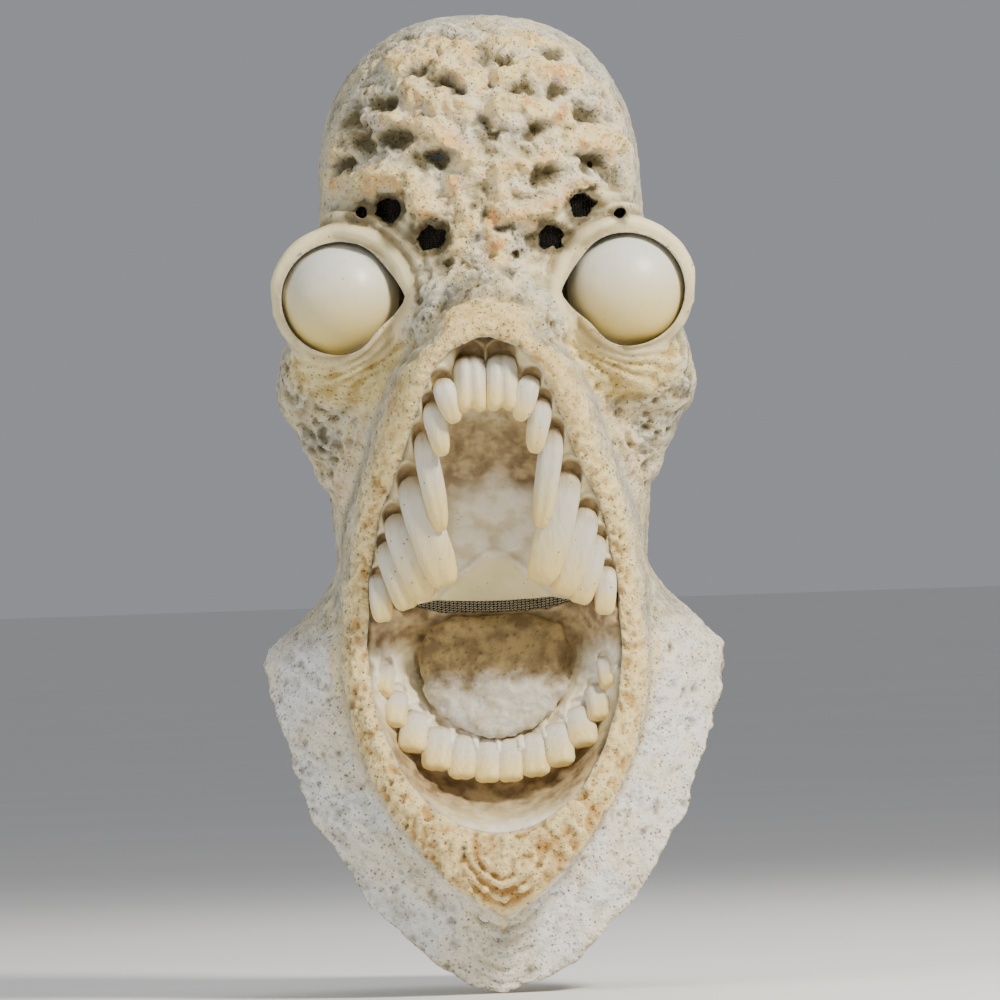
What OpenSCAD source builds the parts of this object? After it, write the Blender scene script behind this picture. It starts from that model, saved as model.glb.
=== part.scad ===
// Full-head latex creature mask: a thin cast skin with a long gaping mouth,
// glued-in eyes, palate, teeth and tongue, and foam pads for the wearer's head.
// The origin is where the crown of the wearer's head bears on the crown pad.
// +Z is up and the face looks along -Y. Left and right are as the viewer sees them.

/* [Skin] */
// Height from the crown to the tip of the bib
mask_h = 551; // [440:1:670]
// Width of the cranium
skull_w = 182; // [150:1:220]
// Depth of the cranium, front to back
skull_d = 224; // [185:1:270]
// Width of the skin at the neck
neck_w = 172; // [145:1:210]
// Width of the bib across the shoulders
bib_w = 264; // [220:1:330]
// Thickness of the cast latex
wall = 2.5; // [1.5:0.1:4]

/* [Mouth] */
// Width of the mouth opening
mouth_w = 142; // [115:1:160]
// Height of the mouth opening
mouth_h = 276; // [230:1:300]
// Drop from the crown to the top of the mouth opening
mouth_drop = 185; // [165:1:205]
// Width of the lip band around the opening
lip_w = 17; // [12:1:24]
// How far the upper lip stands out in front of the face
muzzle_out = 66; // [50:1:85]
// Thickness of the palate and of the mouth bowl
liner_wall = 3; // [2:0.1:5]
// Height of the breathing slot under the palate
slot_h = 7; // [4:0.5:12]

/* [Eyes] */
// Diameter of the eye domes
eye_d = 69; // [52:1:76]
// Distance between the eye centres
eye_gap = 160; // [140:1:180]
// Drop from the crown to the eye centres
eye_drop = 160; // [145:1:175]
// Gap between an eye dome and the lid around it
eye_clear = 1.2; // [0.5:0.1:3]
// Diameter of the wearer's vision holes in the brow
vision_d = 17; // [10:1:24]
// Height of the wearer's vision holes above the eye centres
vision_rise = 36; // [32:1:44]
// Distance between the wearer's vision holes
vision_gap = 68; // [56:1:76]

/* [Teeth and tongue] */
// Length of the upper front teeth
incisor_l = 32; // [22:1:42]
// Length of the longest upper molar
molar_l = 66; // [50:1:80]
// Length of the lower front teeth
lower_tooth_l = 30; // [22:1:38]
// Gap between a tooth and its socket
socket_clear = 0.25; // [0.1:0.05:0.6]
// Width of the tongue
tongue_w = 88; // [70:1:100]
// Length of the tongue
tongue_l = 68; // [50:1:80]

/* [Padding] */
// Thickness of the foam pads
pad_t = 11; // [6:1:16]
// Gap between a pad or patch and the skin that it is glued to
glue_gap = 0.5; // [0.3:0.1:1.5]

/* [Hidden] */
cols = 36;                              // columns of the skin around the head
dome_rows = 6;
rows_per_station = 2;
bib_rows = 6;
muzzle_rows = 20;
muzzle_cols = 14;
crown_z = wall + glue_gap + pad_t;      // height of the outside of the crown
dome_h = 0.178 * mask_h;                // height of the domed part of the cranium
dome_power = 2.3;
section_power = 2.2;
half_skull = skull_w / 2;
front_d = 0.478 * skull_d;              // cranium in front of the ear line
back_d = skull_d - front_d;
shoulder_drop = 0.653 * mask_h;         // crown to the corners of the bib
back_hem_drop = 0.82 * mask_h;          // crown to the hem at the nape
face_front = front_d - 7;               // depth that the lips stand out from
half_mouth = mouth_w / 2;
mouth_top = crown_z - mouth_drop;
mouth_bottom = mouth_top - mouth_h;
gape_z = mouth_bottom + 0.37 * mouth_h; // level of the mouth corners
muzzle_top = mouth_top + 2.5 * lip_w;
chin_z = mouth_bottom - 3 * lip_w;
eye_r = eye_d / 2;
lid_r = eye_r + eye_clear + wall;       // outside of the lids
aperture_r = 0.94 * eye_r;
eye_z = crown_z - eye_drop;
eye_y = -0.67 * front_d;
eye_cut_y = eye_y - 0.3 * eye_r;        // back plane of a dome
brow_z = eye_z + vision_rise;           // level of the vision holes
net_drop = crown_z - brow_z - 4;        // crown to the middle of a vision mesh
net_reach = 12 + vision_d / 2;          // half height of a vision mesh
brow_pad_gap = 14.1;                    // brow pad to the vision meshes below it
mesh_t = 0.8;
slot_z = gape_z + 0.11 * mouth_h;       // middle of the breathing slot
slot_sag = 7;                           // drop of the slot's middle below its ends

// Stations down the skin: [drop, half width, front, back]
stations = [
    [0.178 * mask_h, half_skull, front_d, back_d],
    [0.243 * mask_h, 1.02 * half_skull, 1.01 * front_d, 0.97 * back_d],
    [0.298 * mask_h, 1.01 * half_skull, 1.01 * front_d, 0.92 * back_d],
    [0.388 * mask_h, 1.03 * half_skull, 0.98 * front_d, 0.84 * back_d],
    [0.461 * mask_h, 1.02 * half_skull, 0.92 * front_d, 0.75 * back_d],
    [0.534 * mask_h, 1.03 * neck_w / 2, 0.86 * front_d, 0.69 * back_d],
    [0.570 * mask_h, 1.02 * neck_w / 2, 0.83 * front_d, 0.67 * back_d],
    [0.597 * mask_h, 0.30 * bib_w / 2 + 0.68 * neck_w / 2, 0.82 * front_d, 0.72 * back_d],
    [0.624 * mask_h, 0.86 * bib_w / 2, 0.83 * front_d, 0.79 * back_d],
    [0.653 * mask_h, bib_w / 2, 0.86 * front_d, 0.84 * back_d],
    [1.010 * mask_h, 1.06 * bib_w / 2, 1.10 * front_d, 1.06 * back_d]
];

head_rows = rows_per_station * (len(stations) - 2);

// Half width of the upper mouth, by height above the mouth corners as a share of what is there
upper_mouth = [[0, 1], [0.24, 0.975], [0.42, 0.887], [0.62, 0.683], [0.776, 0.55],
               [0.89, 0.43], [0.965, 0.26], [1, 0.06]];

// How far the lips stand out, by share of the mouth's height from the top down
lip_profile = [[-0.154, 0.06], [-0.09, 0.55], [-0.03, 0.93], [0.04, 0.97], [0.16, 0.78], [0.26, 0.54],
               [0.38, 0.28], [0.50, 0.10], [0.62, 0.07], [0.75, 0.20], [0.86, 0.44], [0.94, 0.62],
               [1.00, 0.74], [1.09, 0.86], [1.145, 0.80], [1.17, 0.60], [1.185, 0.25]];

// Depth of the palate's vault behind the lips, by share of the palate's height from the top down
vault_depth = [[0, 12], [0.2, 17], [0.4, 20], [0.6, 19], [0.8, 17], [1, 14]];

UPPER_KINDS = ["incisor", "lateral", "canine", "fang", "molar_1", "molar_2", "molar_3", "molar_4"];
LOWER_KINDS = ["incisor", "lateral", "canine", "premolar", "molar_1", "molar_2"];
SIDES = [["left", -1], ["right", 1]];
UPPER_TEETH = [for (k = UPPER_KINDS, s = SIDES) str("upper_", k, "_", s[0])];
LOWER_TEETH = [for (k = LOWER_KINDS, s = SIDES) str("lower_", k, "_", s[0])];

// ---- Curves and vectors

function ease(t) = let (c = min(1, max(0, t))) c * c * (3 - 2 * c);
function step_between(a, b, v) = ease((v - a) / (b - a));
function mix(a, b, t) = a + (b - a) * t;
function signed_pow(v, p) = sign(v) * pow(abs(v), p);
function unit(v) = v / norm(v);
function column(table, c) = [for (row = table) [row[0], row[c]]];
function ellipse_share(v) = sqrt(max(0, 1 - v * v));

// ---- The head and the bib

function dome_share(drop) = pow(max(0, 1 - pow(1 - min(1, drop / dome_h), dome_power)), 1 / dome_power);
function station(drop, c) =
    drop < dome_h ? stations[0][c] * dome_share(drop) : lookup(drop, column(stations, c));

// A point of the skin at angle a round the head, where 0 is the front
function skin_point(a, drop) =
    let (c = signed_pow(cos(a), 2 / section_power))
    [station(drop, 1) * signed_pow(sin(a), 2 / section_power),
     c > 0 ? -station(drop, 2) * c : -station(drop, 3) * c,
     crown_z - drop];

// Outward normal of the skin, by small steps both ways along the surface
function skin_normal(a, drop) =
    let (e = 2, f = 0.004 * mask_h,
         across = skin_point(a + e, drop) - skin_point(a - e, drop),
         down = skin_point(a, drop + f) - skin_point(a, max(0.5, drop - f)))
    unit(cross(down, across));

// Crown to the hem at angle a
function hem_drop(a) =
    let (t = abs(a) / 90)
    t < 1 ? mix(mask_h, shoulder_drop, pow(t, 1.15))
          : mix(back_hem_drop, shoulder_drop, pow(2 - t, 1.3));

// Rows lie on the stations and between them, so that the skin follows them exactly
function row_drop(i, a) =
    let (k = (i - dome_rows) / rows_per_station)
    i < dome_rows ? dome_h * (1 - cos(90 * (i + 0.35) / dome_rows))
    : i < dome_rows + head_rows ? mix(stations[floor(k)][0], stations[floor(k) + 1][0], k - floor(k))
    : mix(shoulder_drop, max(shoulder_drop + 4, hem_drop(a)), (i - dome_rows - head_rows) / bib_rows);

// Columns lie closest together at the front
function column_angle(j) = let (t = 2 * j / cols - 1) sign(t) * 180 * pow(abs(t), 1.35);

function skin_ring(i, inset) =
    [for (j = [0 : cols - 1])
        let (a = column_angle(j), drop = row_drop(i, a))
        skin_point(a, drop) - inset * (i == 0 ? [0, 0, 1] : skin_normal(a, drop))];

// ---- The muzzle and the mouth opening

function head_y(x, z) =
    let (drop = crown_z - z, share = min(1, abs(x) / station(drop, 1)))
    -station(drop, 2) * pow(1 - pow(share, section_power), 1 / section_power);

// Half width of the mouth opening
function mouth_half(z) =
    z < gape_z ? half_mouth * ellipse_share((gape_z - z) / (gape_z - mouth_bottom))
               : half_mouth * lookup((z - gape_z) / (mouth_top - gape_z), upper_mouth);

// Half width to the outside of the lips, which close in over the nose and at the chin
function lip_half(z) =
    z > mouth_top
        ? (mouth_half(mouth_top) + 1.5 * lip_w)
          * pow(max(0, 1 - pow((z - mouth_top) / (muzzle_top - mouth_top), 2)), 0.7)
    : z > gape_z ? mouth_half(z) + lip_w * mix(1, 1.5, (z - gape_z) / (mouth_top - gape_z))
    : (half_mouth + lip_w) * pow(max(0, 1 - pow((gape_z - z) / (gape_z - chin_z), 2.1)), 0.6);

// The muzzle's edges stay on the front of the head where the lips are as wide as the neck
function muzzle_half(z) = max(0.6, min(lip_half(z), 0.96 * station(crown_z - z, 1)));

function lip_y(z) = -(face_front + muzzle_out * lookup((mouth_top - z) / mouth_h, lip_profile));

// Outside of the face, with the muzzle on it
function face_y(x, z) =
    let (base = head_y(x, z),
         s = min(1, abs(x) / muzzle_half(z)))
    min(base, mix(base, lip_y(z), pow(1 - pow(s, 7), 0.45)));

// Length along Y that a step of 1 through the face covers, where the face slopes
function slope(x, z) =
    min(2.5, norm([1, (face_y(x + 1, z) - face_y(x - 1, z)) / 2, (face_y(x, z + 1) - face_y(x, z - 1)) / 2]));

// A sheet over the muzzle, from its top to the chin and from edge to edge. The hollow's sheet
// leaves out the end rows, and is set in by inset.
function muzzle_sheet(inset, behind) =
    let (skip = inset > 0 ? 1 : 0)
    [for (i = [skip : muzzle_rows - skip])
        let (z = mix(muzzle_top - 1, chin_z + 1, mix(i / muzzle_rows, (1 - cos(180 * i / muzzle_rows)) / 2, 0.5)),
             half = max(0.6, muzzle_half(z) - inset))
        [for (j = [0 : muzzle_cols])
            let (x = half * sin(180 * (j / muzzle_cols - 0.5)))
            [x, behind > 0 ? head_y(x, z) + behind : face_y(x, z) + inset * slope(x, z), z]]];

// ---- Solids from rings and sheets of points

function ring_faces(rings, n, flip) =
    [for (i = [0 : rings - 2], j = [0 : n - 1])
        let (a = i * n + j, b = i * n + (j + 1) % n, c = a + n, d = b + n)
        each flip ? [[a, c, b], [b, c, d]] : [[a, b, c], [b, d, c]]];

// A closed solid through rings of equal length, with flat ends
module loft(rings) {
    n = len(rings[0]);
    last = (len(rings) - 1) * n;
    polyhedron(
        points = [for (ring = rings) each ring],
        faces = concat(ring_faces(len(rings), n, true),
                       [[for (j = [0 : n - 1]) j]],
                       [[for (j = [n - 1 : -1 : 0]) last + j]]));
}

// A closed shell between an outer and an inner stack of rings, open at the last ring
module shell(outer, inner) {
    n = len(outer[0]);
    r = len(outer);
    total = r * n;
    last = (r - 1) * n;
    polyhedron(
        points = concat([for (ring = outer) each ring], [for (ring = inner) each ring]),
        faces = concat(
            ring_faces(r, n, false),
            [for (f = ring_faces(r, n, true)) f + [total, total, total]],
            [[for (j = [n - 1 : -1 : 0]) j]],
            [[for (j = [0 : n - 1]) total + j]],
            [for (j = [0 : n - 1])
                let (a = last + j, b = last + (j + 1) % n, c = a + total, d = b + total)
                each [[a, b, c], [b, d, c]]]));
}

// A sheet of points made a closed solid by a second sheet behind it
module slab(front, back) {
    r = len(front);
    n = len(front[0]);
    total = r * n;
    rim = concat([for (j = [0 : n - 1]) j],
                 [for (i = [1 : r - 1]) i * n + n - 1],
                 [for (j = [n - 2 : -1 : 0]) (r - 1) * n + j],
                 [for (i = [r - 2 : -1 : 1]) i * n]);
    polyhedron(
        points = concat([for (row = front) each row], [for (row = back) each row]),
        faces = concat(
            [for (i = [0 : r - 2], j = [0 : n - 2])
                let (a = i * n + j, b = a + 1, c = a + n, d = c + 1)
                each [[a, b, c], [b, d, c], [a + total, c + total, b + total],
                      [b + total, c + total, d + total]]],
            [for (k = [0 : len(rim) - 1])
                let (a = rim[k], b = rim[(k + 1) % len(rim)])
                each [[b, a, a + total], [b, a + total, b + total]]]));
}

// ---- The inside of the mouth

facet_gap = 1.5;                        // allowance for the flats between the skin's rows
flange = 5;                             // overlap of a liner behind the lips
rim_gap = wall + glue_gap + facet_gap + 0.8;        // from the outside of the face to a liner's edge
palate_top = mouth_top + flange + 3;
palate_rows = 18;
palate_cols = 20;
bowl_bottom = mouth_bottom - flange;
bowl_rows = 18;
bowl_cols = 22;
arch_w = 0.435 * mouth_w;               // half width of the lower gum
arch_h = 0.20 * mouth_h;                // depth of the lower gum below the mouth corners
ridge_h = 15;

function rim_y(x, z) = face_y(x, z) + rim_gap * slope(x, z);

// The slot is open in the middle, and the liners meet at its ends
function slot_gap(s) = mix(slot_h, 0.4, step_between(0.40, 0.62, abs(s)));
function slot_line(s) = slot_z - slot_sag * (1 - s * s);

function palate_half(z) = mouth_half(min(z, mouth_top - 6)) + flange;
function palate_y(x, z) =
    let (t = (palate_top - z) / (palate_top - slot_z),
         vault = 1 - step_between(0.42, 0.88, abs(x) / palate_half(z)))
    rim_y(x, z) + lookup(t, vault_depth) * vault;

function palate_point(s, t) =
    let (bottom = slot_line(s) + slot_gap(s) / 2,
         z = mix(palate_top, bottom, t),
         x = s * palate_half(z))
    [x, palate_y(x, z), z];

// Distance from the middle of the lower gum: 1 is on the ridge that carries the teeth
function arch_share(x, z) = norm([x / arch_w, min(0, z - gape_z) / arch_h]);

function bowl_half(z) =
    z < gape_z ? (half_mouth + flange) * ellipse_share((gape_z - z) / (gape_z - bowl_bottom + 2))
               : mouth_half(z) + flange;

function bowl_y(x, z) =
    let (rim = z < gape_z ? norm([x / half_mouth, (gape_z - z) / (gape_z - mouth_bottom)])
                          : abs(x) / mouth_half(z),
         floor_y = lip_y(z) + mix(22, 38, step_between(0, 40, slot_z - z)),
         ridge = ridge_h * exp(-pow((arch_share(x, z) - 1) / 0.17, 2)))
    mix(floor_y - ridge, rim_y(x, z), step_between(0.84, 1.0, rim));

function bowl_point(s, t) =
    let (top = slot_line(s) - slot_gap(s) / 2,
         z_edge = mix(slot_z, bowl_bottom, t),
         x = s * bowl_half(z_edge),
         z = mix(top, bowl_bottom, t))
    [x, bowl_y(x, z), z];

function sheet_of(kind, r, n, inset) =
    [for (i = [0 : r])
        [for (j = [0 : n])
            let (s = 2 * j / n - 1, t = i / r,
                 p = kind == "palate" ? palate_point(s, t) : bowl_point(s, t))
            p + [0, inset, 0]]];

// ---- Teeth

// An upper tooth: [drop of the root below the mouth's top, tip x, length, half width]
function upper_tooth(k) =
    k == "incisor" ? [0.036 * mouth_h, 0.118 * half_mouth, incisor_l, 0.1183 * half_mouth]
    : k == "lateral" ? [0.080 * mouth_h, 0.245 * half_mouth, 0.84 * incisor_l, 0.0817 * half_mouth]
    : k == "canine" ? [0.125 * mouth_h, 0.355 * half_mouth, 1.00 * incisor_l, 0.0817 * half_mouth]
    : k == "fang" ? [0.185 * mouth_h, 0.385 * half_mouth, 0.88 * molar_l, 0.0845 * half_mouth]
    : k == "molar_1" ? [0.275 * mouth_h, 0.365 * half_mouth, 1.00 * molar_l, 0.1014 * half_mouth]
    : k == "molar_2" ? [0.350 * mouth_h, 0.530 * half_mouth, 0.79 * molar_l, 0.0873 * half_mouth]
    : k == "molar_3" ? [0.405 * mouth_h, 0.665 * half_mouth, 0.62 * molar_l, 0.0732 * half_mouth]
    : [0.470 * mouth_h, 0.870 * half_mouth, 0.42 * molar_l, 0.0592 * half_mouth];

// A lower tooth: [angle round the gum from its middle, length, half width]
function lower_tooth(k) =
    k == "incisor" ? [5.6, lower_tooth_l, 0.0746 * half_mouth]
    : k == "lateral" ? [18.3, lower_tooth_l, 0.0789 * half_mouth]
    : k == "canine" ? [32, lower_tooth_l, 0.0831 * half_mouth]
    : k == "premolar" ? [47.5, 0.93 * lower_tooth_l, 0.0831 * half_mouth]
    : k == "molar_1" ? [64, 0.83 * lower_tooth_l, 0.0732 * half_mouth]
    : [82, 0.73 * lower_tooth_l, 0.0676 * half_mouth];

// Share of a tooth's half width along its length, from the root to the rounded tip
tooth_profile = [[0, 0.72], [0.12, 0.9], [0.35, 1], [0.65, 0.93], [0.86, 0.72], [0.96, 0.42], [1, 0.2]];
tooth_sides = 9;

function tooth_rings(root, tip, wide, half_w, half_d, grow) =
    let (axis = unit(tip - root),
         deep = unit(cross(axis, wide)),
         side = cross(deep, axis),
         reach = norm(tip - root))
    [for (k = tooth_profile)
        let (centre = root + axis * (k[0] * (reach + 2 * grow) - grow))
        [for (j = [0 : tooth_sides - 1])
            let (a = 360 * j / tooth_sides)
            centre + side * ((half_w * k[1] + grow) * cos(a)) + deep * ((half_d * k[1] + grow) * sin(a))]];

// Upper teeth hang from the palate just inside the lips, and lean in towards the middle
module upper_tooth_solid(kind, side, grow = 0) {
    t = upper_tooth(kind);
    root_z = mouth_top - t[0];
    edge_x = mouth_half(root_z) - t[3] - 0.4;
    root_x = kind == "incisor" ? t[3] + 0.6 : edge_x;
    tip_z = root_z - sqrt(t[2] * t[2] - pow(root_x - t[1], 2));
    root = [side * root_x, palate_y(root_x, root_z) - 0.5, root_z];
    tip = [side * t[1], mix(root[1], lip_y(tip_z), 0.62) - 3, tip_z];
    loft(tooth_rings(root, tip, [1, 0.15 * side, 0], t[3], 0.78 * t[3], grow));
}

// Lower teeth stand on the gum's ridge, and lean out and down over the lip
module lower_tooth_solid(kind, side, grow = 0) {
    t = lower_tooth(kind);
    a = side * t[0];
    x = arch_w * sin(a);
    z = gape_z - 0.92 * arch_h * cos(a);
    root = [x, bowl_y(x, z) + 3, z];
    tip = root + t[1] * unit([0.14 * sin(a), -0.62, -0.80]);
    loft(tooth_rings(root, tip, [cos(a), 0, 0.4 * sin(a)], t[2], 0.72 * t[2], grow));
}

// ---- Sub-parts

module eye_sphere(side, r) {
    translate([side * eye_gap / 2, eye_y, eye_z]) sphere(r = r, $fn = 24);
}

// The cheekbone is a lump below and behind each eye
cheek_r = 34;
module cheek(side, inset) {
    translate([side * eye_gap / 2, 0.5 * eye_y - 16, eye_z - 1.2 * eye_r])
        scale([1.08, 1.2, 1]) sphere(r = cheek_r - inset, $fn = 18);
}

module muzzle(inset) {
    slab(muzzle_sheet(inset, 0), muzzle_sheet(inset, inset > 0 ? 6 * wall : 1.3 * wall));
}

module head_shell() {
    rows = dome_rows + head_rows + bib_rows;
    shell([for (i = [0 : rows]) skin_ring(i, 0)], [for (i = [0 : rows]) skin_ring(i, wall)]);
}

// The space inside the head, down to the shoulders
module head_core() {
    loft([for (i = [dome_rows + head_rows : -1 : 0]) skin_ring(i, wall - 0.05)]);
}

module aperture(side) {
    translate([side * eye_gap / 2, eye_y, eye_z]) rotate([90, 0, 0])
        hull() {
            cylinder(r = aperture_r, h = 1, $fn = 36);
            translate([0, 0, 3 * eye_r]) cylinder(r = aperture_r, h = 1, $fn = 36);
        }
}

// A vision hole, cut along Y through the brow
module vision_hole(x, z, d) {
    translate([x, -2 * front_d, z]) rotate([-90, 0, 0])
        hull() {
            translate([-0.12 * d, 0, 0]) cylinder(d = d, h = 1.6 * front_d, $fn = 16);
            translate([0.12 * d, 0.15 * d, 0]) cylinder(d = 0.8 * d, h = 1.6 * front_d, $fn = 16);
        }
}

module vision_holes() {
    for (side = [-1, 1]) {
        vision_hole(side * vision_gap / 2, brow_z - 5, vision_d);
        vision_hole(side * (vision_gap / 2 + 1.2 * vision_d), brow_z + 12, 0.82 * vision_d);
        vision_hole(side * (vision_gap / 2 + 2.3 * vision_d), brow_z + 10, 0.36 * vision_d);
    }
}

module mouth_cutter() {
    n = 20;
    heights = [for (i = [0 : n]) mix(mouth_top - 0.5, mouth_bottom + 0.2, (1 - cos(180 * i / n)) / 2)];
    translate([0, -0.5 * front_d, 0]) rotate([90, 0, 0])
        linear_extrude(height = 2 * muzzle_out + front_d)
            polygon(concat([for (z = heights) [mouth_half(z), z]],
                           [for (i = [n : -1 : 0]) [-mouth_half(heights[i]), heights[i]]]));
}

module mask_skin() {
    color("antiquewhite") difference() {
        union() {
            head_shell();
            muzzle(0);
            difference() {
                for (side = [-1, 1]) {
                    eye_sphere(side, lid_r);
                    cheek(side, 0);
                }
                head_core();
            }
        }
        muzzle(wall);
        for (side = [-1, 1]) {
            eye_sphere(side, lid_r - wall);
            cheek(side, wall);
            aperture(side);
        }
        vision_holes();
        mouth_cutter();
    }
}

module eye_dome(side) {
    color("ivory") difference() {
        eye_sphere(side, eye_r);
        eye_sphere(side, eye_r - wall);
        translate([side * eye_gap / 2 - eye_r * 1.5, eye_cut_y, eye_z - eye_r * 1.5])
            cube(eye_r * 3);
    }
}

module palate() {
    color("cornsilk") difference() {
        slab(sheet_of("palate", palate_rows, palate_cols, 0),
             sheet_of("palate", palate_rows, palate_cols, liner_wall));
        for (k = UPPER_KINDS, s = SIDES) hull() upper_tooth_solid(k, s[1], socket_clear);
    }
}

module mouth_bowl() {
    color("bisque") difference() {
        slab(sheet_of("bowl", bowl_rows, bowl_cols, 0),
             sheet_of("bowl", bowl_rows, bowl_cols, liner_wall));
        for (k = LOWER_KINDS, s = SIDES) hull() lower_tooth_solid(k, s[1], socket_clear);
    }
}

// The tongue: a thick pad that swells from its root to a rounded tip over the lower gum
tongue_profile = [[0, 0.5, 5], [0.1, 0.86, 9], [0.3, 1, 10], [0.6, 0.95, 10],
                  [0.8, 0.75, 9], [0.93, 0.46, 7], [1, 0.16, 3]];
tongue_top = slot_z - slot_sag - slot_h / 2 - 1;
tongue_gap = 1.8;

// Middle of the tongue's thickness, so that its back clears the bowl from its middle to its edges
function tongue_y(z, half, thick) =
    min(bowl_y(0, z) - thick, bowl_y(0.7 * half, z) - 0.714 * thick, bowl_y(half, z)) - tongue_gap;

module tongue() {
    sides = 16;
    color("rosybrown") loft([for (k = tongue_profile)
        let (z = tongue_top - k[0] * tongue_l,
             half = k[1] * tongue_w / 2,
             y = tongue_y(z, half, k[2]))
        [for (j = [0 : sides - 1])
            let (a = -360 * j / sides)
            [half * cos(a), y + k[2] * sin(a), z]]]);
}

// A patch or pad that follows the inside of the skin between two angles and two drops.
// lift raises its ends towards the sides of the head.
module inner_pad(angles, drops, thick, lift = 0) {
    n = 6;
    gap = wall + glue_gap + facet_gap;
    function point(a, drop, inset) =
        let (d = drop - lift * step_between(20, 50, abs(a)))
        skin_point(a, d) - inset * skin_normal(a, d);
    function ring(drop) = concat(
        [for (i = [0 : n]) point(mix(angles[0], angles[1], i / n), drop, gap)],
        [for (i = [n : -1 : 0]) point(mix(angles[0], angles[1], i / n), drop, gap + thick)]);
    loft([for (i = [0 : n]) ring(mix(drops[1], drops[0], i / n))]);
}

module vision_mesh(side) {
    color("black") inner_pad(side < 0 ? [-60, -8] : [8, 60],
                             [net_drop - net_reach, net_drop + net_reach], mesh_t, 14);
}

module throat_mesh() {
    half = 0.38 * mouth_w;
    function point(i, j, back) =
        let (s = j / 6 - 1, x = s * half, z = slot_line(s) + 11 - 5.5 * i,
             behind = max(palate_y(x, z + 8), bowl_y(x, z - 8)))
        [x, behind + liner_wall + 2 + back, z];
    color("black") slab([for (i = [0 : 4]) [for (j = [0 : 12]) point(i, j, 0)]],
                        [for (i = [0 : 4]) [for (j = [0 : 12]) point(i, j, mesh_t)]]);
}

// The crown pad fills the top of the dome, down to the flat face that the head bears on
module crown_pad() {
    n = 24;
    edge = 0.72 * crown_z;
    function ring(drop, z) = [for (j = [0 : n - 1])
        let (p = skin_point(-360 * j / n, drop)) [0.93 * p[0], 0.93 * p[1], z]];
    color("dimgray") loft(concat(
        [for (i = [0 : 4]) let (drop = mix(0.4, edge, pow(i / 4, 2)))
            ring(drop, crown_z - drop - wall - glue_gap - facet_gap / 3)],
        [ring(edge, 0)]));
}

module brow_pad() {
    color("dimgray") inner_pad([-34, 34], [0.075 * mask_h, net_drop - net_reach - brow_pad_gap], 0.7 * pad_t);
}

module nape_pad() {
    color("dimgray") inner_pad([146, 214], [0.30 * mask_h, 0.42 * mask_h], pad_t);
}

module temple_pad(side) {
    color("dimgray") inner_pad(side < 0 ? [-118, -82] : [82, 118], [0.16 * mask_h, 0.29 * mask_h], 0.7 * pad_t);
}

mask_skin();
mouth_bowl();
palate();
tongue();
eye_dome(-1);  // left_eye_dome
eye_dome(1);  // right_eye_dome
vision_mesh(-1);  // left_vision_mesh
vision_mesh(1);  // right_vision_mesh
throat_mesh();
crown_pad();
brow_pad();
nape_pad();
temple_pad(-1);  // left_temple_pad
temple_pad(1);  // right_temple_pad
for (k = UPPER_KINDS, s = SIDES)
    color("seashell") upper_tooth_solid(k, s[1]);
for (k = LOWER_KINDS, s = SIDES)
    color("seashell") lower_tooth_solid(k, s[1]);
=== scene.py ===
# %% [markdown]
# # A latex creature mask
# The object is a hollow cast latex mask that covers the whole head. Its skin is one thin
# sheet with a long gaping mouth, and the eyes, palate, teeth, tongue and foam pads are
# glued inside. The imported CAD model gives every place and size. The pieces here are built
# around it, and each one stands for the CAD solids that it replaces.

# %% Load the frame
import math
from types import SimpleNamespace

import bmesh
import bpy
import numpy as np
from mathutils import Matrix, Vector, noise
from mathutils.bvhtree import BVHTree


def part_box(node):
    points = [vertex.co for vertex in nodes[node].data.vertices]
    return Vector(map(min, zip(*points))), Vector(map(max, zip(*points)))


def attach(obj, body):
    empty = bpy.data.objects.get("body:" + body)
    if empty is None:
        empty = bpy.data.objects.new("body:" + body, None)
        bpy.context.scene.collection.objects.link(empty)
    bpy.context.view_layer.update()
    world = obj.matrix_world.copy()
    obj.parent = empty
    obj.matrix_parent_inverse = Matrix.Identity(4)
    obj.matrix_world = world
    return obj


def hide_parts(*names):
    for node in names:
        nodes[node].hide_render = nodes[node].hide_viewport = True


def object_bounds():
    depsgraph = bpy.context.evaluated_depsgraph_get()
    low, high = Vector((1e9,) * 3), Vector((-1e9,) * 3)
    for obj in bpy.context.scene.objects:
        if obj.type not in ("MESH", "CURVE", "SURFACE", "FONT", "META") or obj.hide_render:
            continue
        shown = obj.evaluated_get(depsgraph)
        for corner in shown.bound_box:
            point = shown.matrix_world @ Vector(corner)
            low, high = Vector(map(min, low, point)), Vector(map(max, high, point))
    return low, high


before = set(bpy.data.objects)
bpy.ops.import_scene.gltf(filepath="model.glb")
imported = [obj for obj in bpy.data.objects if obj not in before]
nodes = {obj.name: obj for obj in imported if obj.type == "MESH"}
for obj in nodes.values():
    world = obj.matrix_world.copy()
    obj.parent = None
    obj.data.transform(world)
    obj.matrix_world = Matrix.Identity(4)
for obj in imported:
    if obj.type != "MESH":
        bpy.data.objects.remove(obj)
cad_bounds = [list(corner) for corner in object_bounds()]

# %% [markdown]
# ## Camera, floor and light
# The mask is seen straight from the front through a very long lens, so that the muzzle
# isn't made bigger than it is. The mask leans a little in that view, and the lean is the
# camera's, because the model itself stands upright. A wide pale floor under a pale sky
# and three large lamps give the even light of a studio table.

# %% Camera
VIEW_HEIGHT = -0.2617
VIEW_SIDE = 0.0056
VIEW_DISTANCE = 8.0
FACE_AHEAD = 0.1  # how far the face stands in front of the origin
VIEW_FIELD = 0.56  # width of what is seen at the face
LEAN = math.radians(-1.9)


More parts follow.
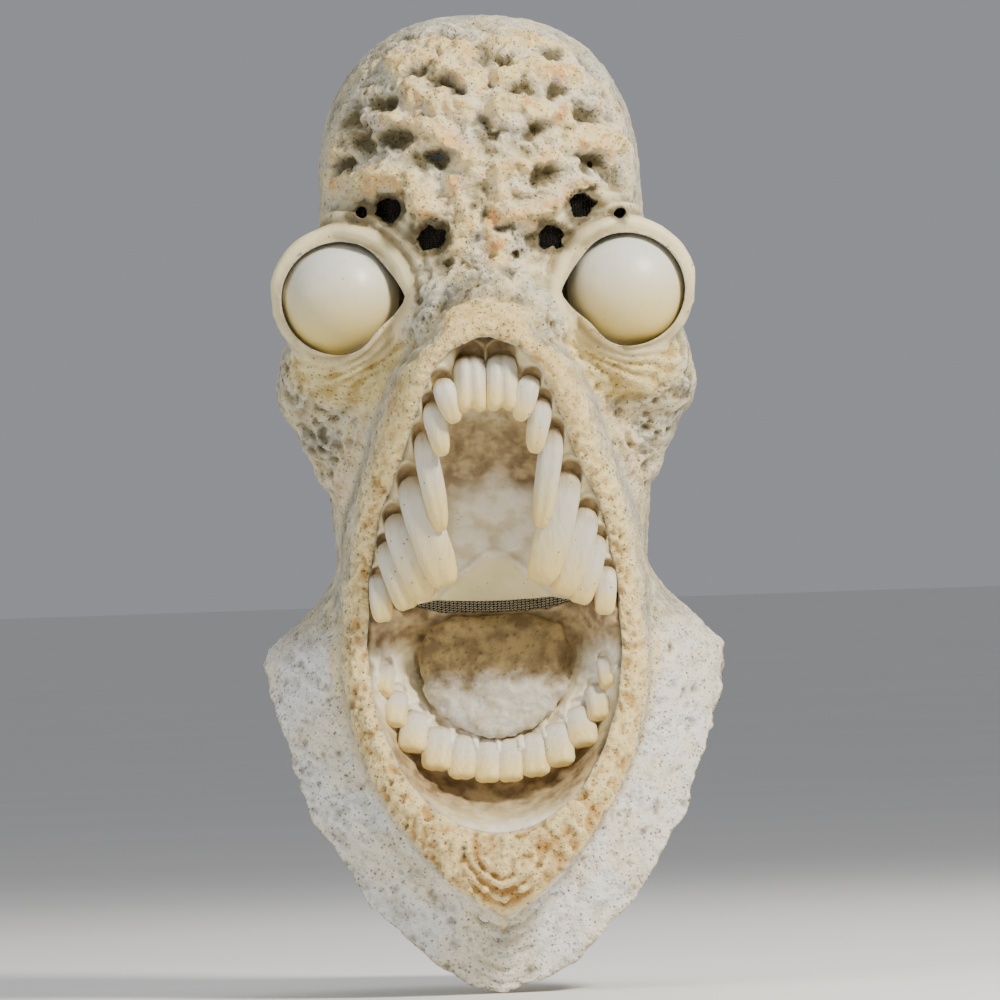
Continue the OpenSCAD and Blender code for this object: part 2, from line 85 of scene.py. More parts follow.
def set_camera():
    data = bpy.data.cameras.new("front_camera")
    data.sensor_width = 36
    data.lens = data.sensor_width * (VIEW_DISTANCE - FACE_AHEAD) / VIEW_FIELD
    camera = bpy.data.objects.new("front_camera", data)
    turn = Matrix.Rotation(math.radians(90), 4, "X") @ Matrix.Rotation(LEAN, 4, "Z")
    camera.matrix_world = Matrix.Translation((VIEW_SIDE, -VIEW_DISTANCE, VIEW_HEIGHT)) @ turn
    bpy.context.scene.collection.objects.link(camera)
    bpy.context.scene.camera = camera
    return camera


print("camera:", set_camera().location[:])

# %% Pieces and modifiers
MM = 0.001


def new_piece(bm, name):
    """Puts a finished bmesh into the scene as an object of its own."""
    mesh = bpy.data.meshes.new(name)
    bm.to_mesh(mesh)
    bm.free()
    piece = bpy.data.objects.new(name, mesh)
    bpy.context.scene.collection.objects.link(piece)
    return piece


def settle(piece):
    """Turns a piece's live modifiers into its own mesh."""
    bpy.context.view_layer.update()
    graph = bpy.context.evaluated_depsgraph_get()
    made = bpy.data.meshes.new_from_object(piece.evaluated_get(graph))
    piece.modifiers.clear()
    piece.data = made
    return piece


def modify(piece, kind, **settings):
    """Adds one modifier, sets it and settles it."""
    modifier = piece.modifiers.new(kind.lower(), kind)
    for name, value in settings.items():
        setattr(modifier, name, value)
    return settle(piece)


print("piece helpers ready")


# %% Points, masks and noise
def points_of(mesh):
    flat = np.empty(len(mesh.vertices) * 3)
    mesh.vertices.foreach_get("co", flat)
    return flat.reshape(-1, 3)


def normals_of(mesh):
    flat = np.empty(len(mesh.vertices) * 3)
    mesh.vertex_normals.foreach_get("vector", flat)
    return flat.reshape(-1, 3)


def set_points(mesh, points):
    mesh.vertices.foreach_set("co", points.ravel())
    mesh.update()


def keep_mask(mesh, name, values):
    """Stores one number for each vertex, for the material to read."""
    layer = mesh.attributes.get(name) or mesh.attributes.new(name, "FLOAT", "POINT")
    layer.data.foreach_set("value", np.asarray(values, np.float32))


def shade_smooth(piece):
    piece.data.polygons.foreach_set("use_smooth", [True] * len(piece.data.polygons))
    return piece


def ease(low, high, value):
    """0 below low, 1 above high, with a soft start and end."""
    share = np.clip((value - low) / (high - low), 0, 1)
    return share * share * (3 - 2 * share)


def within(value, start, full, fade, end):
    """1 between full and fade, 0 outside start and end."""
    return ease(start, full, value) * (1 - ease(fade, end, value))


def bump(distance, width):
    """1 at no distance, falling softly to 0 past the width."""
    return np.exp(-(distance / width) ** 2)


def lumps(points, size, octaves=3):
    """Soft noise about zero, with lumps of one size in metres."""
    return np.array([noise.fractal(Vector(p) / size, 0.9, 2.0, octaves) for p in points])


def crags(points, size, octaves=3):
    """Noise with sharp crests, from about -1 to 1."""
    return np.array([noise.ridged_multi_fractal(Vector(p) / size, 0.9, 2.0, octaves, 1.0, 2.0)
                     for p in points]) - 1


def cell_distance(points, size):
    """Distance to the nearest of many scattered points, as a share of their spacing."""
    return np.array([noise.voronoi(Vector(p) / size)[0][0] for p in points])


print("noise helpers ready")

# %% Floor
def lay_floor():
    """A wide flat disc at the height of the lowest point of the mask."""
    bm = bmesh.new()
    bmesh.ops.create_circle(bm, segments=96, radius=30, cap_ends=True)
    bmesh.ops.translate(bm, verts=bm.verts, vec=(0, 0, cad_bounds[0][2]))
    floor = new_piece(bm, "studio_floor")
    return floor


studio_floor = lay_floor()
print("floor at", round(cad_bounds[0][2], 4))


# %% Lamps
def add_lamp(name, place, aim, size, watts, colour=(1, 1, 1)):
    data = bpy.data.lights.new(name, "AREA")
    data.shape = "DISK"
    data.size = size
    data.energy = watts
    data.color = colour
    lamp = bpy.data.objects.new(name, data)
    lamp.location = place
    lamp.rotation_euler = (Vector(aim) - Vector(place)).to_track_quat("-Z", "Y").to_euler()
    bpy.context.scene.collection.objects.link(lamp)


middle = (0, -0.02, -0.26)
add_lamp("key_lamp", (1.0, -0.95, 0.95), middle, 0.4, 52, (1, 0.95, 0.87))
add_lamp("fill_lamp", (-1.3, -1.1, 0.3), middle, 1.0, 9, (0.90, 0.95, 1))
add_lamp("back_lamp", (0.3, 1.1, 0.9), middle, 1.2, 12)
world = bpy.data.worlds.new("studio")
world.use_nodes = True
world.node_tree.nodes["Background"].inputs["Color"].default_value = (0.9, 0.93, 1, 1)
world.node_tree.nodes["Background"].inputs["Strength"].default_value = 0.32
bpy.context.scene.world = world
print("lamps:", len(bpy.data.lights))

# %% [markdown]
# ## Writing a material
# Each finish on the mask is a few layers: a base colour, colours and painted shade that follow the relief,
# and fine pores. Written node by node that would fill pages, so one small class lets the
# maths be written as ordinary sums, and one method adds every other kind of node.


# %% Sums on sockets
class Flow:
    """One value or colour inside a material. Sums on it add Math nodes."""

    def __init__(self, finish, socket):
        self.finish = finish
        self.socket = socket

    def sum(self, operation, first, second):
        return self.finish.node("Math", {"operation": operation}, {0: first, 1: second})

    def __add__(self, other):
        return self.sum("ADD", self, other)

    def __sub__(self, other):
        return self.sum("SUBTRACT", self, other)

    def __rsub__(self, other):
        return self.sum("SUBTRACT", other, self)

    def __mul__(self, other):
        return self.sum("MULTIPLY", self, other)

    __radd__ = __add__
    __rmul__ = __mul__


print("sums ready")


# %% Layers of a finish
class Finish:
    """A material under construction."""

    def __init__(self, name, **constants):
        self.material = bpy.data.materials.new(name)
        self.material.use_nodes = True
        self.tree = self.material.node_tree
        self.shader = self.tree.nodes["Principled BSDF"]
        for socket, value in constants.items():
            self.shader.inputs[socket.replace("_", " ")].default_value = value
        self.place = self.node("TexCoord", output="Object")

    def node(self, kind, settings=None, inputs=None, output=0):
        """Adds a node: its settings first, then the values or links of its sockets."""
        made = self.tree.nodes.new("ShaderNode" + kind)
        for name, value in (settings or {}).items():
            setattr(made, name, value)
        for name, value in (inputs or {}).items():
            if isinstance(value, Flow):
                self.tree.links.new(value.socket, made.inputs[name])
            else:
                made.inputs[name].default_value = value
        return Flow(self, made.outputs[output])

    def stretched(self, scale):
        return self.node("Mapping", {}, {"Vector": self.place, "Scale": scale})

    def noise(self, size, detail=3, roughness=0.55, where=None):
        return self.node("TexNoise", {}, {"Vector": where or self.place, "Scale": 1 / size,
                                          "Detail": detail, "Roughness": roughness})

    def cells(self, size):
        return self.node("TexVoronoi", {}, {"Vector": self.place, "Scale": 1 / size}, "Distance")

    def mask(self, name):
        return self.node("Attribute", {"attribute_name": name}, output="Fac")

    def between(self, low, high, value):
        """0 at low and 1 at high, with soft ends."""
        return self.node("MapRange", {"interpolation_type": "SMOOTHSTEP"},
                         {"Value": value, "From Min": low, "From Max": high})

    def mix(self, share, first, second):
        """A share of the second colour over the first. A colour is a layer or a hex code."""
        first, second = ((*tint(c), 1) if isinstance(c, str) else c for c in (first, second))
        return self.node("Mix", {"data_type": "RGBA", "clamp_factor": True},
                         {0: share, 6: first, 7: second}, 2)

    def raise_surface(self, height, depth, under=None):
        """A bump of a height from 0 to 1, where 1 stands the given depth in metres."""
        inputs = {"Height": height, "Distance": depth, "Strength": 1.0}
        if under:
            inputs["Normal"] = under
        return self.node("Bump", {}, inputs)

    def done(self, **links):
        for socket, flow in links.items():
            self.tree.links.new(flow.socket, self.shader.inputs[socket.replace("_", " ")])
        return self.material


def tint(code):
    """A colour written as a paint chip's hex code, in linear light."""
    parts = [int(code[i:i + 2], 16) / 255 for i in (0, 2, 4)]
    return tuple(p / 12.92 if p < 0.04045 else ((p + 0.055) / 1.055) ** 2.4 for p in parts)


print("cream is", tuple(round(part, 3) for part in tint("E2DAC2")))


# %% Floor finish
def floor_finish():
    f = Finish("pale_floor", Roughness=0.7)
    return f.done(Base_Color=f.mix(f.noise(0.3), "E9E7E3", "F2F0EC"))


studio_floor.data.materials.append(floor_finish())
print("floor finish:", studio_floor.data.materials[0].name)

# %% [markdown]
# ## Measures from the frame
# The mouth, the eyes and the skin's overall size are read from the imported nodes, so the
# pieces fit the CAD wherever a size there changes.

# %% Places of the skin, eyes and mouth
skin_low, skin_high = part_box("mask_skin")
crown_z = skin_high.z
mask_height = skin_high.z - skin_low.z
WALL = 3.0 * MM
LIP = 17 * MM
palate_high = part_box("palate")[1]
bowl_low, bowl_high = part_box("mouth_bowl")
mouth_top = palate_high.z - 8 * MM
mouth_bottom = bowl_low.z + 5 * MM
mouth_height = mouth_top - mouth_bottom
gape_z = mouth_bottom + 0.37 * mouth_height
half_mouth = bowl_high.x - 5 * MM
chin_z = mouth_bottom - 3 * LIP
muzzle_top = mouth_top + 2.5 * LIP


def eye_measures(side):
    """Centre and radius of the sphere that an eye dome is a cap of."""
    low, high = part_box(side + "_eye_dome")
    chord = (high.x - low.x) / 2
    depth = high.y - low.y
    radius = (chord * chord + depth * depth) / (2 * depth)
    return np.array([(low.x + high.x) / 2, low.y + radius, (low.z + high.z) / 2]), radius


eyes = {side: eye_measures(side) for side in ("left", "right")}
eye_radius = eyes["left"][1]
print("eye radius", round(eye_radius, 4), "mouth", round(mouth_top, 4), round(mouth_bottom, 4))

# %% Outline of the mouth and of the lips
UPPER_SHARES = [0, 0.24, 0.42, 0.62, 0.776, 0.89, 0.965, 1]
UPPER_WIDTHS = [1, 0.975, 0.887, 0.683, 0.55, 0.43, 0.26, 0.04]


def mouth_half(z):
    """Half the width of the mouth opening at a height."""
    z = np.asarray(z, float)
    above = np.interp((z - gape_z) / (mouth_top - gape_z), UPPER_SHARES, UPPER_WIDTHS, right=0)
    below = np.sqrt(np.clip(1 - ((gape_z - z) / (gape_z - mouth_bottom)) ** 2, 0, None))
    return half_mouth * np.where(z < gape_z, below, above)


def muzzle_half(z):
    """Half the width to the outside of the lips at a height."""
    z = np.asarray(z, float)
    over = np.clip((z - mouth_top) / (muzzle_top - mouth_top), 0, 1)
    nose = 28 * MM * np.clip(1 - over ** 2, 0, None) ** 0.7
    sides = mouth_half(z) + LIP * (1 + 0.5 * (z - gape_z) / (mouth_top - gape_z))
    under = np.clip((gape_z - z) / (gape_z - chin_z), 0, 1)
    chin = (half_mouth + LIP) * np.clip(1 - under ** 2.1, 0, None) ** 0.9
    return np.maximum(1 * MM, np.where(z > mouth_top, nose, np.where(z > gape_z, sides, chin)))


rim_heights = mouth_top + (mouth_bottom - mouth_top) * (1 - np.cos(np.linspace(0, np.pi, 90))) / 2
rim_right = np.stack([mouth_half(rim_heights), rim_heights], 1)
mouth_rim = np.concatenate([rim_right, rim_right[::-1] * [-1, 1]])


def rim_distance(x, z):
    """Distance from the edge of the mouth opening, negative inside it."""
    apart = np.full(len(x), 1.0)
    for a, b in zip(mouth_rim, np.roll(mouth_rim, -1, 0)):
        apart = np.minimum(apart, line_distance(x, z, [a, b]))
    inside = (np.abs(x) < mouth_half(z)) & (z < mouth_top) & (z > mouth_bottom)
    return np.where(inside, -apart, apart)


def line_distance(x, z, path):
    """Distance in the front view from a line through a few points."""
    apart = np.full(len(x), 1.0)
    for a, b in zip(path[:-1], path[1:]):
        ax, az = a
        dx, dz = b[0] - ax, b[1] - az
        length = max(dx * dx + dz * dz, 1e-12)
        along = np.clip(((x - ax) * dx + (z - az) * dz) / length, 0, 1)
        apart = np.minimum(apart, np.hypot(x - ax - along * dx, z - az - along * dz))
    return apart


print("rim points", len(mouth_rim))

# %% [markdown]
# ## The block-out of the skin
# A mask sculptor starts with clay over a head form: a skull, a muzzle, balls for the eyes
# and lumps for the cheekbones. The same is done here. Each lump is a simple closed mesh,
# they are joined, and a voxel remesh melts them into one skin of even squares, which
# smoothing then softens as a thumb does.

# %% Form of the head and the bib
# Share of the height below the crown, then half width, front and back depth in millimetres
STATIONS = np.array([
    [0.178, 91, 107, 117], [0.243, 92.8, 108, 113.4], [0.298, 92, 108, 107.6], [0.388, 93.7, 105, 98],
    [0.461, 92.8, 98.5, 87.7], [0.534, 88.6, 92, 80.7], [0.570, 87.7, 89, 78.3], [0.597, 98, 88, 84],
    [0.624, 113.5, 89, 92.4], [0.653, 131, 92, 98], [1.02, 140, 118, 124]])
DOME = 0.178  # share of the height that the round crown takes
DOME_POWER = 2.3
RING_POWER = 2 / 2.2
CROWN_ROWS, NECK_ROWS, FLOOR_ROWS = 0.27, 0.66, 0.07  # shares of the ball's rows
BODY_END = 1.02


def station(share, column):
    """A width or depth of the head at a share of its height below the crown."""
    dome = np.clip(1 - (1 - np.minimum(1, share / DOME)) ** DOME_POWER, 0, None) ** (1 / DOME_POWER)
    return dome * np.interp(share, STATIONS[:, 0], STATIONS[:, column]) * MM


def head_point(angle, share):
    """A point of the head at an angle from the front."""
    side, ahead = np.sin(angle), np.cos(angle)
    deep = np.where(ahead > 0, station(share, 2), station(share, 3))
    x = station(share, 1) * np.sign(side) * np.abs(side) ** RING_POWER
    y = -deep * np.sign(ahead) * np.abs(ahead) ** RING_POWER
    return np.stack([x, y, crown_z - share * mask_height], -1)


def clay_head():
    """A ball drawn over the stations from the crown down, closed below the hem."""
    bm = bmesh.new()
    bmesh.ops.create_uvsphere(bm, u_segments=120, v_segments=110, radius=1)
    for vertex in bm.verts:
        turn = math.atan2(vertex.co.x, -vertex.co.y)
        down = math.acos(max(-1, min(1, vertex.co.z))) / math.pi
        dome = DOME * (1 - math.cos(min(1, down / CROWN_ROWS) * math.pi / 2))
        share = dome + max(0, min(1, (down - CROWN_ROWS) / NECK_ROWS)) * (BODY_END - DOME)
        point = head_point(np.array(turn), np.array(share))
        close = min(1, (1 - down) / FLOOR_ROWS)
        vertex.co = (point[0] * close, point[1] * close, point[2])
    return bm


def clay_ball(centre, radii):
    bm = bmesh.new()
    bmesh.ops.create_uvsphere(bm, u_segments=32, v_segments=20, radius=1)
    bmesh.ops.scale(bm, verts=bm.verts, vec=radii)
    bmesh.ops.translate(bm, verts=bm.verts, vec=centre)
    return bm


print("head widths checked:", np.round(head_point(np.array(math.pi / 2), np.array(0.3)), 4))

# %% Form of the muzzle
skin_tree = BVHTree.FromObject(nodes["mask_skin"], bpy.context.evaluated_depsgraph_get())
FRONT = Vector((0, 1, 0))


def front_depth(tree, x, z, fallback=np.nan, deepest=1.0):
    """How far forward the first surface lies, seen straight from the front."""
    found = np.full(len(x), fallback)
    for i, (px, pz) in enumerate(zip(x, z)):
        hit = tree.ray_cast(Vector((px, -0.5, pz)), FRONT)[0]
        if hit and hit.y < deepest:
            found[i] = hit.y
    return found


def smooth_rows(table, rounds):
    """Averages each number in a table with its four neighbours."""
    for _ in range(rounds):
        wide = np.pad(table, 1, mode="edge")
        table = (wide[:-2, 1:-1] + wide[2:, 1:-1] + wide[1:-1, :-2] + wide[1:-1, 2:] + 2 * table) / 6
    return table


def ordered_grid(columns, rows):
    """A flat grid, and its vertices in rows from the bottom up."""
    bm = bmesh.new()
    bmesh.ops.create_grid(bm, x_segments=columns, y_segments=rows, size=1)
    verts = sorted(bm.verts, key=lambda v: (round(v.co.y, 5), round(v.co.x, 5)))
    return bm, verts, len(verts) // (rows + 1)


def clay_muzzle():
    """A sheet over the front of the CAD lips, rolled at the rim and drawn back into a block."""
    bm, verts, across = ordered_grid(56, 110)
    u = np.array([v.co.x for v in verts])
    v = np.array([v.co.y for v in verts])
    z = chin_z + 1 * MM + (muzzle_top - chin_z - 2 * MM) * (v + 1) / 2
    widest = 0.96 * station((crown_z - z) / mask_height, 1)
    x = np.minimum(muzzle_half(z), widest) * np.sin(u * np.pi / 2)
    y = front_depth(skin_tree, x, z, deepest=-40 * MM).reshape(-1, across)
    cols = np.arange(across)
    for row in y:
        known = ~np.isnan(row)
        row[:] = np.interp(cols, cols[known], row[known]) if known.any() else -90 * MM
    y = smooth_rows(y, 8).ravel()
    rim = rim_distance(x, z)
    band = bump(rim - 8 * MM, 8 * MM) * ease(-150 * MM, -170 * MM, z)
    y += -2.5 * MM * band + 5 * MM * (1 - ease(-2 * MM, 5 * MM, rim))
    for vertex, place in zip(verts, np.stack([x, y, z], 1)):
        vertex.co = place
    back = bmesh.ops.extrude_face_region(bm, geom=list(bm.faces))["geom"]
    for vertex in (g for g in back if isinstance(g, bmesh.types.BMVert)):
        vertex.co.y = -20 * MM
    bmesh.ops.recalc_face_normals(bm, faces=bm.faces)
    return bm


print("front of the lips at", round(skin_low.y, 4))


# %% Form of the lids
LID_ROLL = 4.3 * MM
LID_GAP = 0.6 * MM
LID_AHEAD = 12.5 * MM
INNER_CORNER = 6 * MM


def clay_lid(side):
    """A thick roll round the eye, heavier above than below, drawn in to the inner corner."""
    centre, radius = eyes[side]
    inward = 1 if side == "left" else -1
    bm = bmesh.new()
    bmesh.ops.create_circle(bm, segments=14, radius=LID_ROLL)
    middle = radius + LID_GAP
    bmesh.ops.translate(bm, verts=bm.verts, vec=(middle, 0, 0))
    bmesh.ops.spin(bm, geom=list(bm.verts) + list(bm.edges), cent=(0, 0, 0), axis=(0, 1, 0),
                   angle=math.tau, steps=72, use_merge=True)
    for vertex in bm.verts:
        x, y, z = vertex.co
        turn = math.atan2(z, x * inward)
        heavy = 1 + 0.45 * max(0, math.sin(turn)) - 0.25 * max(0, -math.sin(turn))
        corner = math.exp(-((turn + 0.05) / 0.28) ** 2) * INNER_CORNER
        reach = math.hypot(x, z)
        new = middle + (reach - middle) * heavy + corner
        vertex.co = (x / reach * new, y * heavy - LID_AHEAD + corner, z / reach * new)
    bmesh.ops.translate(bm, verts=bm.verts, vec=centre)
    bmesh.ops.recalc_face_normals(bm, faces=bm.faces)
    return bm


print("lid roll", LID_ROLL)


# %% Lumps of the block-out
# Balls of one cheekbone: outward, back and up from the eye in millimetres, and size
CHEEK_BALLS = ((4, 22, -38, 32), (14, 30, -52, 25), (6, 34, -72, 22), (2, 40, -94, 17))
NOSE_PLACE, NOSE_SIZE = (0, -88 * MM, mouth_top + 8 * MM), (50 * MM, 52 * MM, 38 * MM)


def clay_parts():
    """Every lump of the block-out."""
    parts = [clay_head(), clay_muzzle(), clay_ball(NOSE_PLACE, NOSE_SIZE)]
    for side, (centre, radius) in eyes.items():
        out = -1 if side == "left" else 1
        parts.append(clay_lid(side))
        parts.append(clay_ball(centre, [radius + 3.2 * MM] * 3))
        bag = centre + np.array([-6 * MM * out, -1 * MM, -13 * MM])
        parts.append(clay_ball(bag, (radius, radius * 1.02, radius * 0.93)))
        fold = centre + np.array([-8 * MM * out, 2 * MM, -35 * MM])
        parts.append(clay_ball(fold, (27 * MM, 26 * MM, 27 * MM)))
        for across, deep, down, size in CHEEK_BALLS:
            cheek = centre + np.array([across * out, deep, down]) * MM
            parts.append(clay_ball(cheek, (size * MM, 1.15 * size * MM, size * MM)))
        brow = centre + np.array([-20 * MM * out, 6 * MM, 38 * MM])
        parts.append(clay_ball(brow, (34 * MM, 33 * MM, 17 * MM)))
    return parts


def join_clay(parts, name):
    """All the lumps as one mesh, still as separate closed shells."""
    whole = bmesh.new()
    for part in parts:
        mesh = bpy.data.meshes.new("lump")
        part.to_mesh(mesh)
        part.free()
        whole.from_mesh(mesh)
        bpy.data.meshes.remove(mesh)
    return new_piece(whole, name)


skin = join_clay(clay_parts(), "mask_skin_latex")
modify(skin, "REMESH", mode="VOXEL", voxel_size=2.5 * MM)
modify(skin, "SMOOTH", factor=0.5, iterations=6)
modify(skin, "REMESH", mode="VOXEL", voxel_size=2.8 * MM)
modify(skin, "SMOOTH", factor=0.5, iterations=3)
print("block-out faces", len(skin.data.polygons))

# %% [markdown]
# ## Sculpting the skin
# The clay is now worked with the tools that leave marks: ridges rolled on over the brow,
# pits pressed in with a ball, and a stiff brush for the pores. In code each mark is a
# height over the surface, and every vertex moves out along its normal by the sum of
# them. The face gets smaller squares first, because that is where the fine marks are.


# %% Finer squares on the face
def refine_face(piece):
    """Splits the squares that look forward, and softens the new ones."""
    bm = bmesh.new()
    bm.from_mesh(piece.data)
    bm.normal_update()
    ahead = [f for f in bm.faces if f.normal.y < -0.12 and f.calc_center_median().y < -45 * MM
             and f.calc_center_median().z > -500 * MM]
    edges = list(dict.fromkeys(e for f in ahead for e in f.edges))
    bmesh.ops.subdivide_edges(bm, edges=edges, cuts=1, use_grid_fill=True)
    for _ in range(2):
        bmesh.ops.smooth_vert(bm, verts=bm.verts, factor=0.5, use_axis_x=True, use_axis_y=True,
                              use_axis_z=True)
    bm.to_mesh(piece.data)
    bm.free()


refine_face(skin)
print("skin faces", len(skin.data.polygons))

# %% Ridges and pits of the forehead
# Each ridge: points across and up in millimetres, then half width and height
RIDGES = [
    ([(-26, -3), (-12, -8), (-1, -12)], 5, 1.8),
    ([(-44, -15), (-28, -14), (-15, -21), (0, -27)], 5.5, 3.0),
    ([(-37, -32), (-20, -40), (-7, -43)], 6, 3.2),
    ([(-46, -46), (-25, -55), (-5, -72)], 6.5, 3.6),
    ([(-62, -81), (-46, -78), (-34, -90), (-28, -99)], 8, 4.4),
    ([(-77, -60), (-82, -85)], 7, 2.5),
    ([(11, -5), (29, -5), (45, -14)], 5, 2.2),
    ([(13, -23), (32, -22), (53, -28)], 5.5, 3.0),
    ([(10, -41), (27, -43), (47, -54)], 6.5, 3.4),
    ([(54, -63), (66, -62), (77, -66)], 7, 3.8),
    ([(11, -79), (27, -79), (39, -71)], 5.5, 3.0),
    ([(16, -105), (38, -102), (54, -89)], 7, 4.4),
    ([(-14, -86), (-8, -102), (-14, -120)], 6, 2.2),
    ([(10, -92), (6, -112), (14, -146)], 5, 2.0)]
# Each pit: place across and up, radius and depth
PITS = [
    (-50, -37, 8.5, 4.0), (-71, -46, 6.5, 3.2), (-65, -57, 8.5, 4.2), (-44, -57, 8.5, 3.6),
    (-21, -69, 9, 5.0), (-73, -72, 6.5, 3.6), (-17, -28, 7, 3.0), (-33, -23, 6, 2.4),
    (63, -73, 7, 4.2), (36, -81, 9, 5.0), (31, -55, 7, 3.4), (9, -56, 4.5, 3.2), (42, -15, 5.5, 2.6),
    (59, -49, 7, 2.4), (16, -14, 5, 2.6), (26, -31, 6, 3.0), (44, -35, 6, 2.6), (-4, -132, 3.6, 4.0),
    (15, -135, 5, 3.0), (19, -124, 3.6, 2.4), (-26, -156, 6.5, 3.0), (-9, -31, 5, 2.6), (12, -112, 4, 2.0),
    (-18, -128, 4, 2.0), (-27.6, -114, 13, 3.2), (-52, -97, 12, 3.0), (-67, -98, 7, 2.4),
    (40, -115.5, 13, 3.2), (57, -98, 12, 3.0), (78, -103, 7, 2.2)]
# The holes in the brow go right through: place across and up, and radius
BROW_HOLES = [(-27.6, -114, 8.0), (-52, -97, 7.4), (-67, -98, 3.2),
              (40, -115.5, 7.6), (57, -98, 7.4), (78, -103, 3.2)]
# Tendons and folds down the cheeks, as the ridges
TENDONS = [
    ([(-50, -172), (-62, -200), (-72, -235), (-84, -280), (-88, -320)], 5, 3.2),
    ([(50, -172), (60, -200), (70, -232), (81, -275), (86, -315)], 5, 3.2),
    ([(-76, -214), (-82, -245), (-88, -275)], 4, 2.0),
    ([(78, -216), (82, -240), (86, -268)], 4, 2.0),
    ([(-92, -345), (-96, -390), (-78, -440), (-45, -480)], 6, 2.2),
    ([(94, -345), (97, -392), (80, -440), (48, -480)], 6, 2.2)]
print("ridges", len(RIDGES), "pits", len(PITS), "tendons", len(TENDONS))


# %% Heights along the lines and in the pits
PIT_WIDE, PIT_TALL = 1.35, 0.8  # the pits are pulled out sideways


def line_height(x, z, marks):
    """Height in metres of rolled-on ridges, and how strongly each point lies on one."""
    height = np.zeros(len(x))
    share = np.zeros(len(x))
    for path, width, tall in marks:
        on = bump(line_distance(x, z, np.array(path) * MM), width * MM)
        height = np.maximum(height, on * tall * MM)
        share = np.maximum(share, on)
    return height, share


def pit_depth(x, z, pits):
    """Depth in metres of pressed-in pits, and how strongly each point lies in one."""
    depth = np.zeros(len(x))
    share = np.zeros(len(x))
    for px, pz, radius, deep in pits:
        apart = np.hypot((x - px * MM) / PIT_WIDE, (z - pz * MM) / PIT_TALL) / (radius * MM)
        bowl = np.clip(1 - apart ** 2, 0, None) ** 1.2
        depth = np.maximum(depth, bowl * deep * MM)
        share = np.maximum(share, np.clip(bowl * 1.4, 0, 1))
    return depth, share


print("ridges", len(RIDGES), "pits", len(PITS))


# %% Texture of the raw cast
def skin_texture(points, x, z):
    """The noises that the marks are made of, from broad lumps down to pores."""
    flow = np.stack([x * 0.5, points[:, 1] * 0.5, z * 1.35 + 0.25 * np.abs(x)], 1)
    return SimpleNamespace(
        broad=lumps(points, 24 * MM, 2),
        grit=lumps(points, 3.4 * MM, 2),
        craggy=crags(points, 9 * MM, 3),
        furrows=crags(flow, 15 * MM, 4),
        sponge=ease(0.34, 0.08, cell_distance(points + 5, 11 * MM))
        * ease(-0.35, 0.15, lumps(points + 9, 30 * MM, 2)),
        pores=ease(0.36, 0.12, cell_distance(points, 5.2 * MM))
        * ease(-0.25, 0.35, lumps(points + 3, 17 * MM, 2)),
        crater=ease(0.42, 0.12, cell_distance(points + 11, 6.5 * MM))
        * ease(-0.3, 0.2, lumps(points + 21, 15 * MM, 2)))


# Slanting wrinkles of the bib fall away from the middle on both sides
def bib_wrinkles(points):
    out, up = points[:, 0], points[:, 2]
    along, across = out + 0.7 * np.sign(out) * up, up - 0.7 * np.abs(out)
    return crags(np.stack([along, points[:, 1] * 0.4, across * 2.4], 1), 26 * MM, 4)


print("texture sample", np.round(bib_wrinkles(np.array([[0.1, 0, -0.4]])), 3))


# %% Marks round the eyes
FOLD_SPACING = 6.6 * MM
BAG_WRINKLE = 3.9 * MM


def eye_marks(points):
    """Where lids and bags lie, and the rims, creases, folds and wrinkles that run round them."""
    lid, bag, folds, rims, crease, under = np.zeros((6, len(points)))
    for side, (centre, radius) in eyes.items():
        inward = 1 if side == "left" else -1
        dx, dz = (points[:, 0] - centre[0]) * inward, points[:, 2] - centre[2]
        behind = 60 * MM * ease(-48 * MM, -30 * MM, points[:, 1])
        reach = np.hypot(dx, dz) + behind - radius
        turn = np.arctan2(dz, dx)
        edge = (4.5 + 4.5 * within(turn, -0.5, 0.3, 2.9, 3.14)) * MM
        over = within(turn, -0.1, 0.5, 2.0, 2.6)
        ring = within(reach, 5 * MM, 9 * MM, 21 * MM, 27 * MM) * over
        lid = np.maximum(lid, np.maximum(1 - ease(-2 * MM, 2 * MM, reach - edge), 0.75 * ring))
        rims += bump(reach - 3.4 * MM, 2.8 * MM) * (0.5 + 0.9 * within(turn, -0.2, 0.5, 2.7, 3.1))
        crease += bump(reach - 9 * MM, 1.6 * MM) * ease(-0.5, 0.1, turn)
        folds += ring * np.cos(reach / FOLD_SPACING * math.tau)
        below = np.hypot((dx - 6 * MM) / (37 * MM), (dz + 36 * MM) / (27 * MM))
        bag = np.maximum(bag, (1 - ease(0.8, 1.15, below)) * (dz < 4 * MM))
        under += np.exp(-(below / 1.1) ** 2) * (reach + 0.22 * dx)
    return SimpleNamespace(lid=lid, bag=bag, folds=folds, rims=rims, crease=crease, under=under)


def eye_height(eye, cast):
    """Height of the marks round the eyes."""
    wrinkle = np.cos(eye.under / BAG_WRINKLE * math.tau + 2.4 * cast.broad)
    height = 0.9 * eye.folds * (1 - 0.4 * np.abs(cast.craggy)) + 1.5 * eye.rims - 1.5 * eye.crease
    height += eye.bag * (1 - np.clip(eye.rims, 0, 1)) * (0.75 * wrinkle + 0.35 * cast.craggy)
    return height * MM


print("fold spacing", FOLD_SPACING, "wrinkle spacing", BAG_WRINKLE)


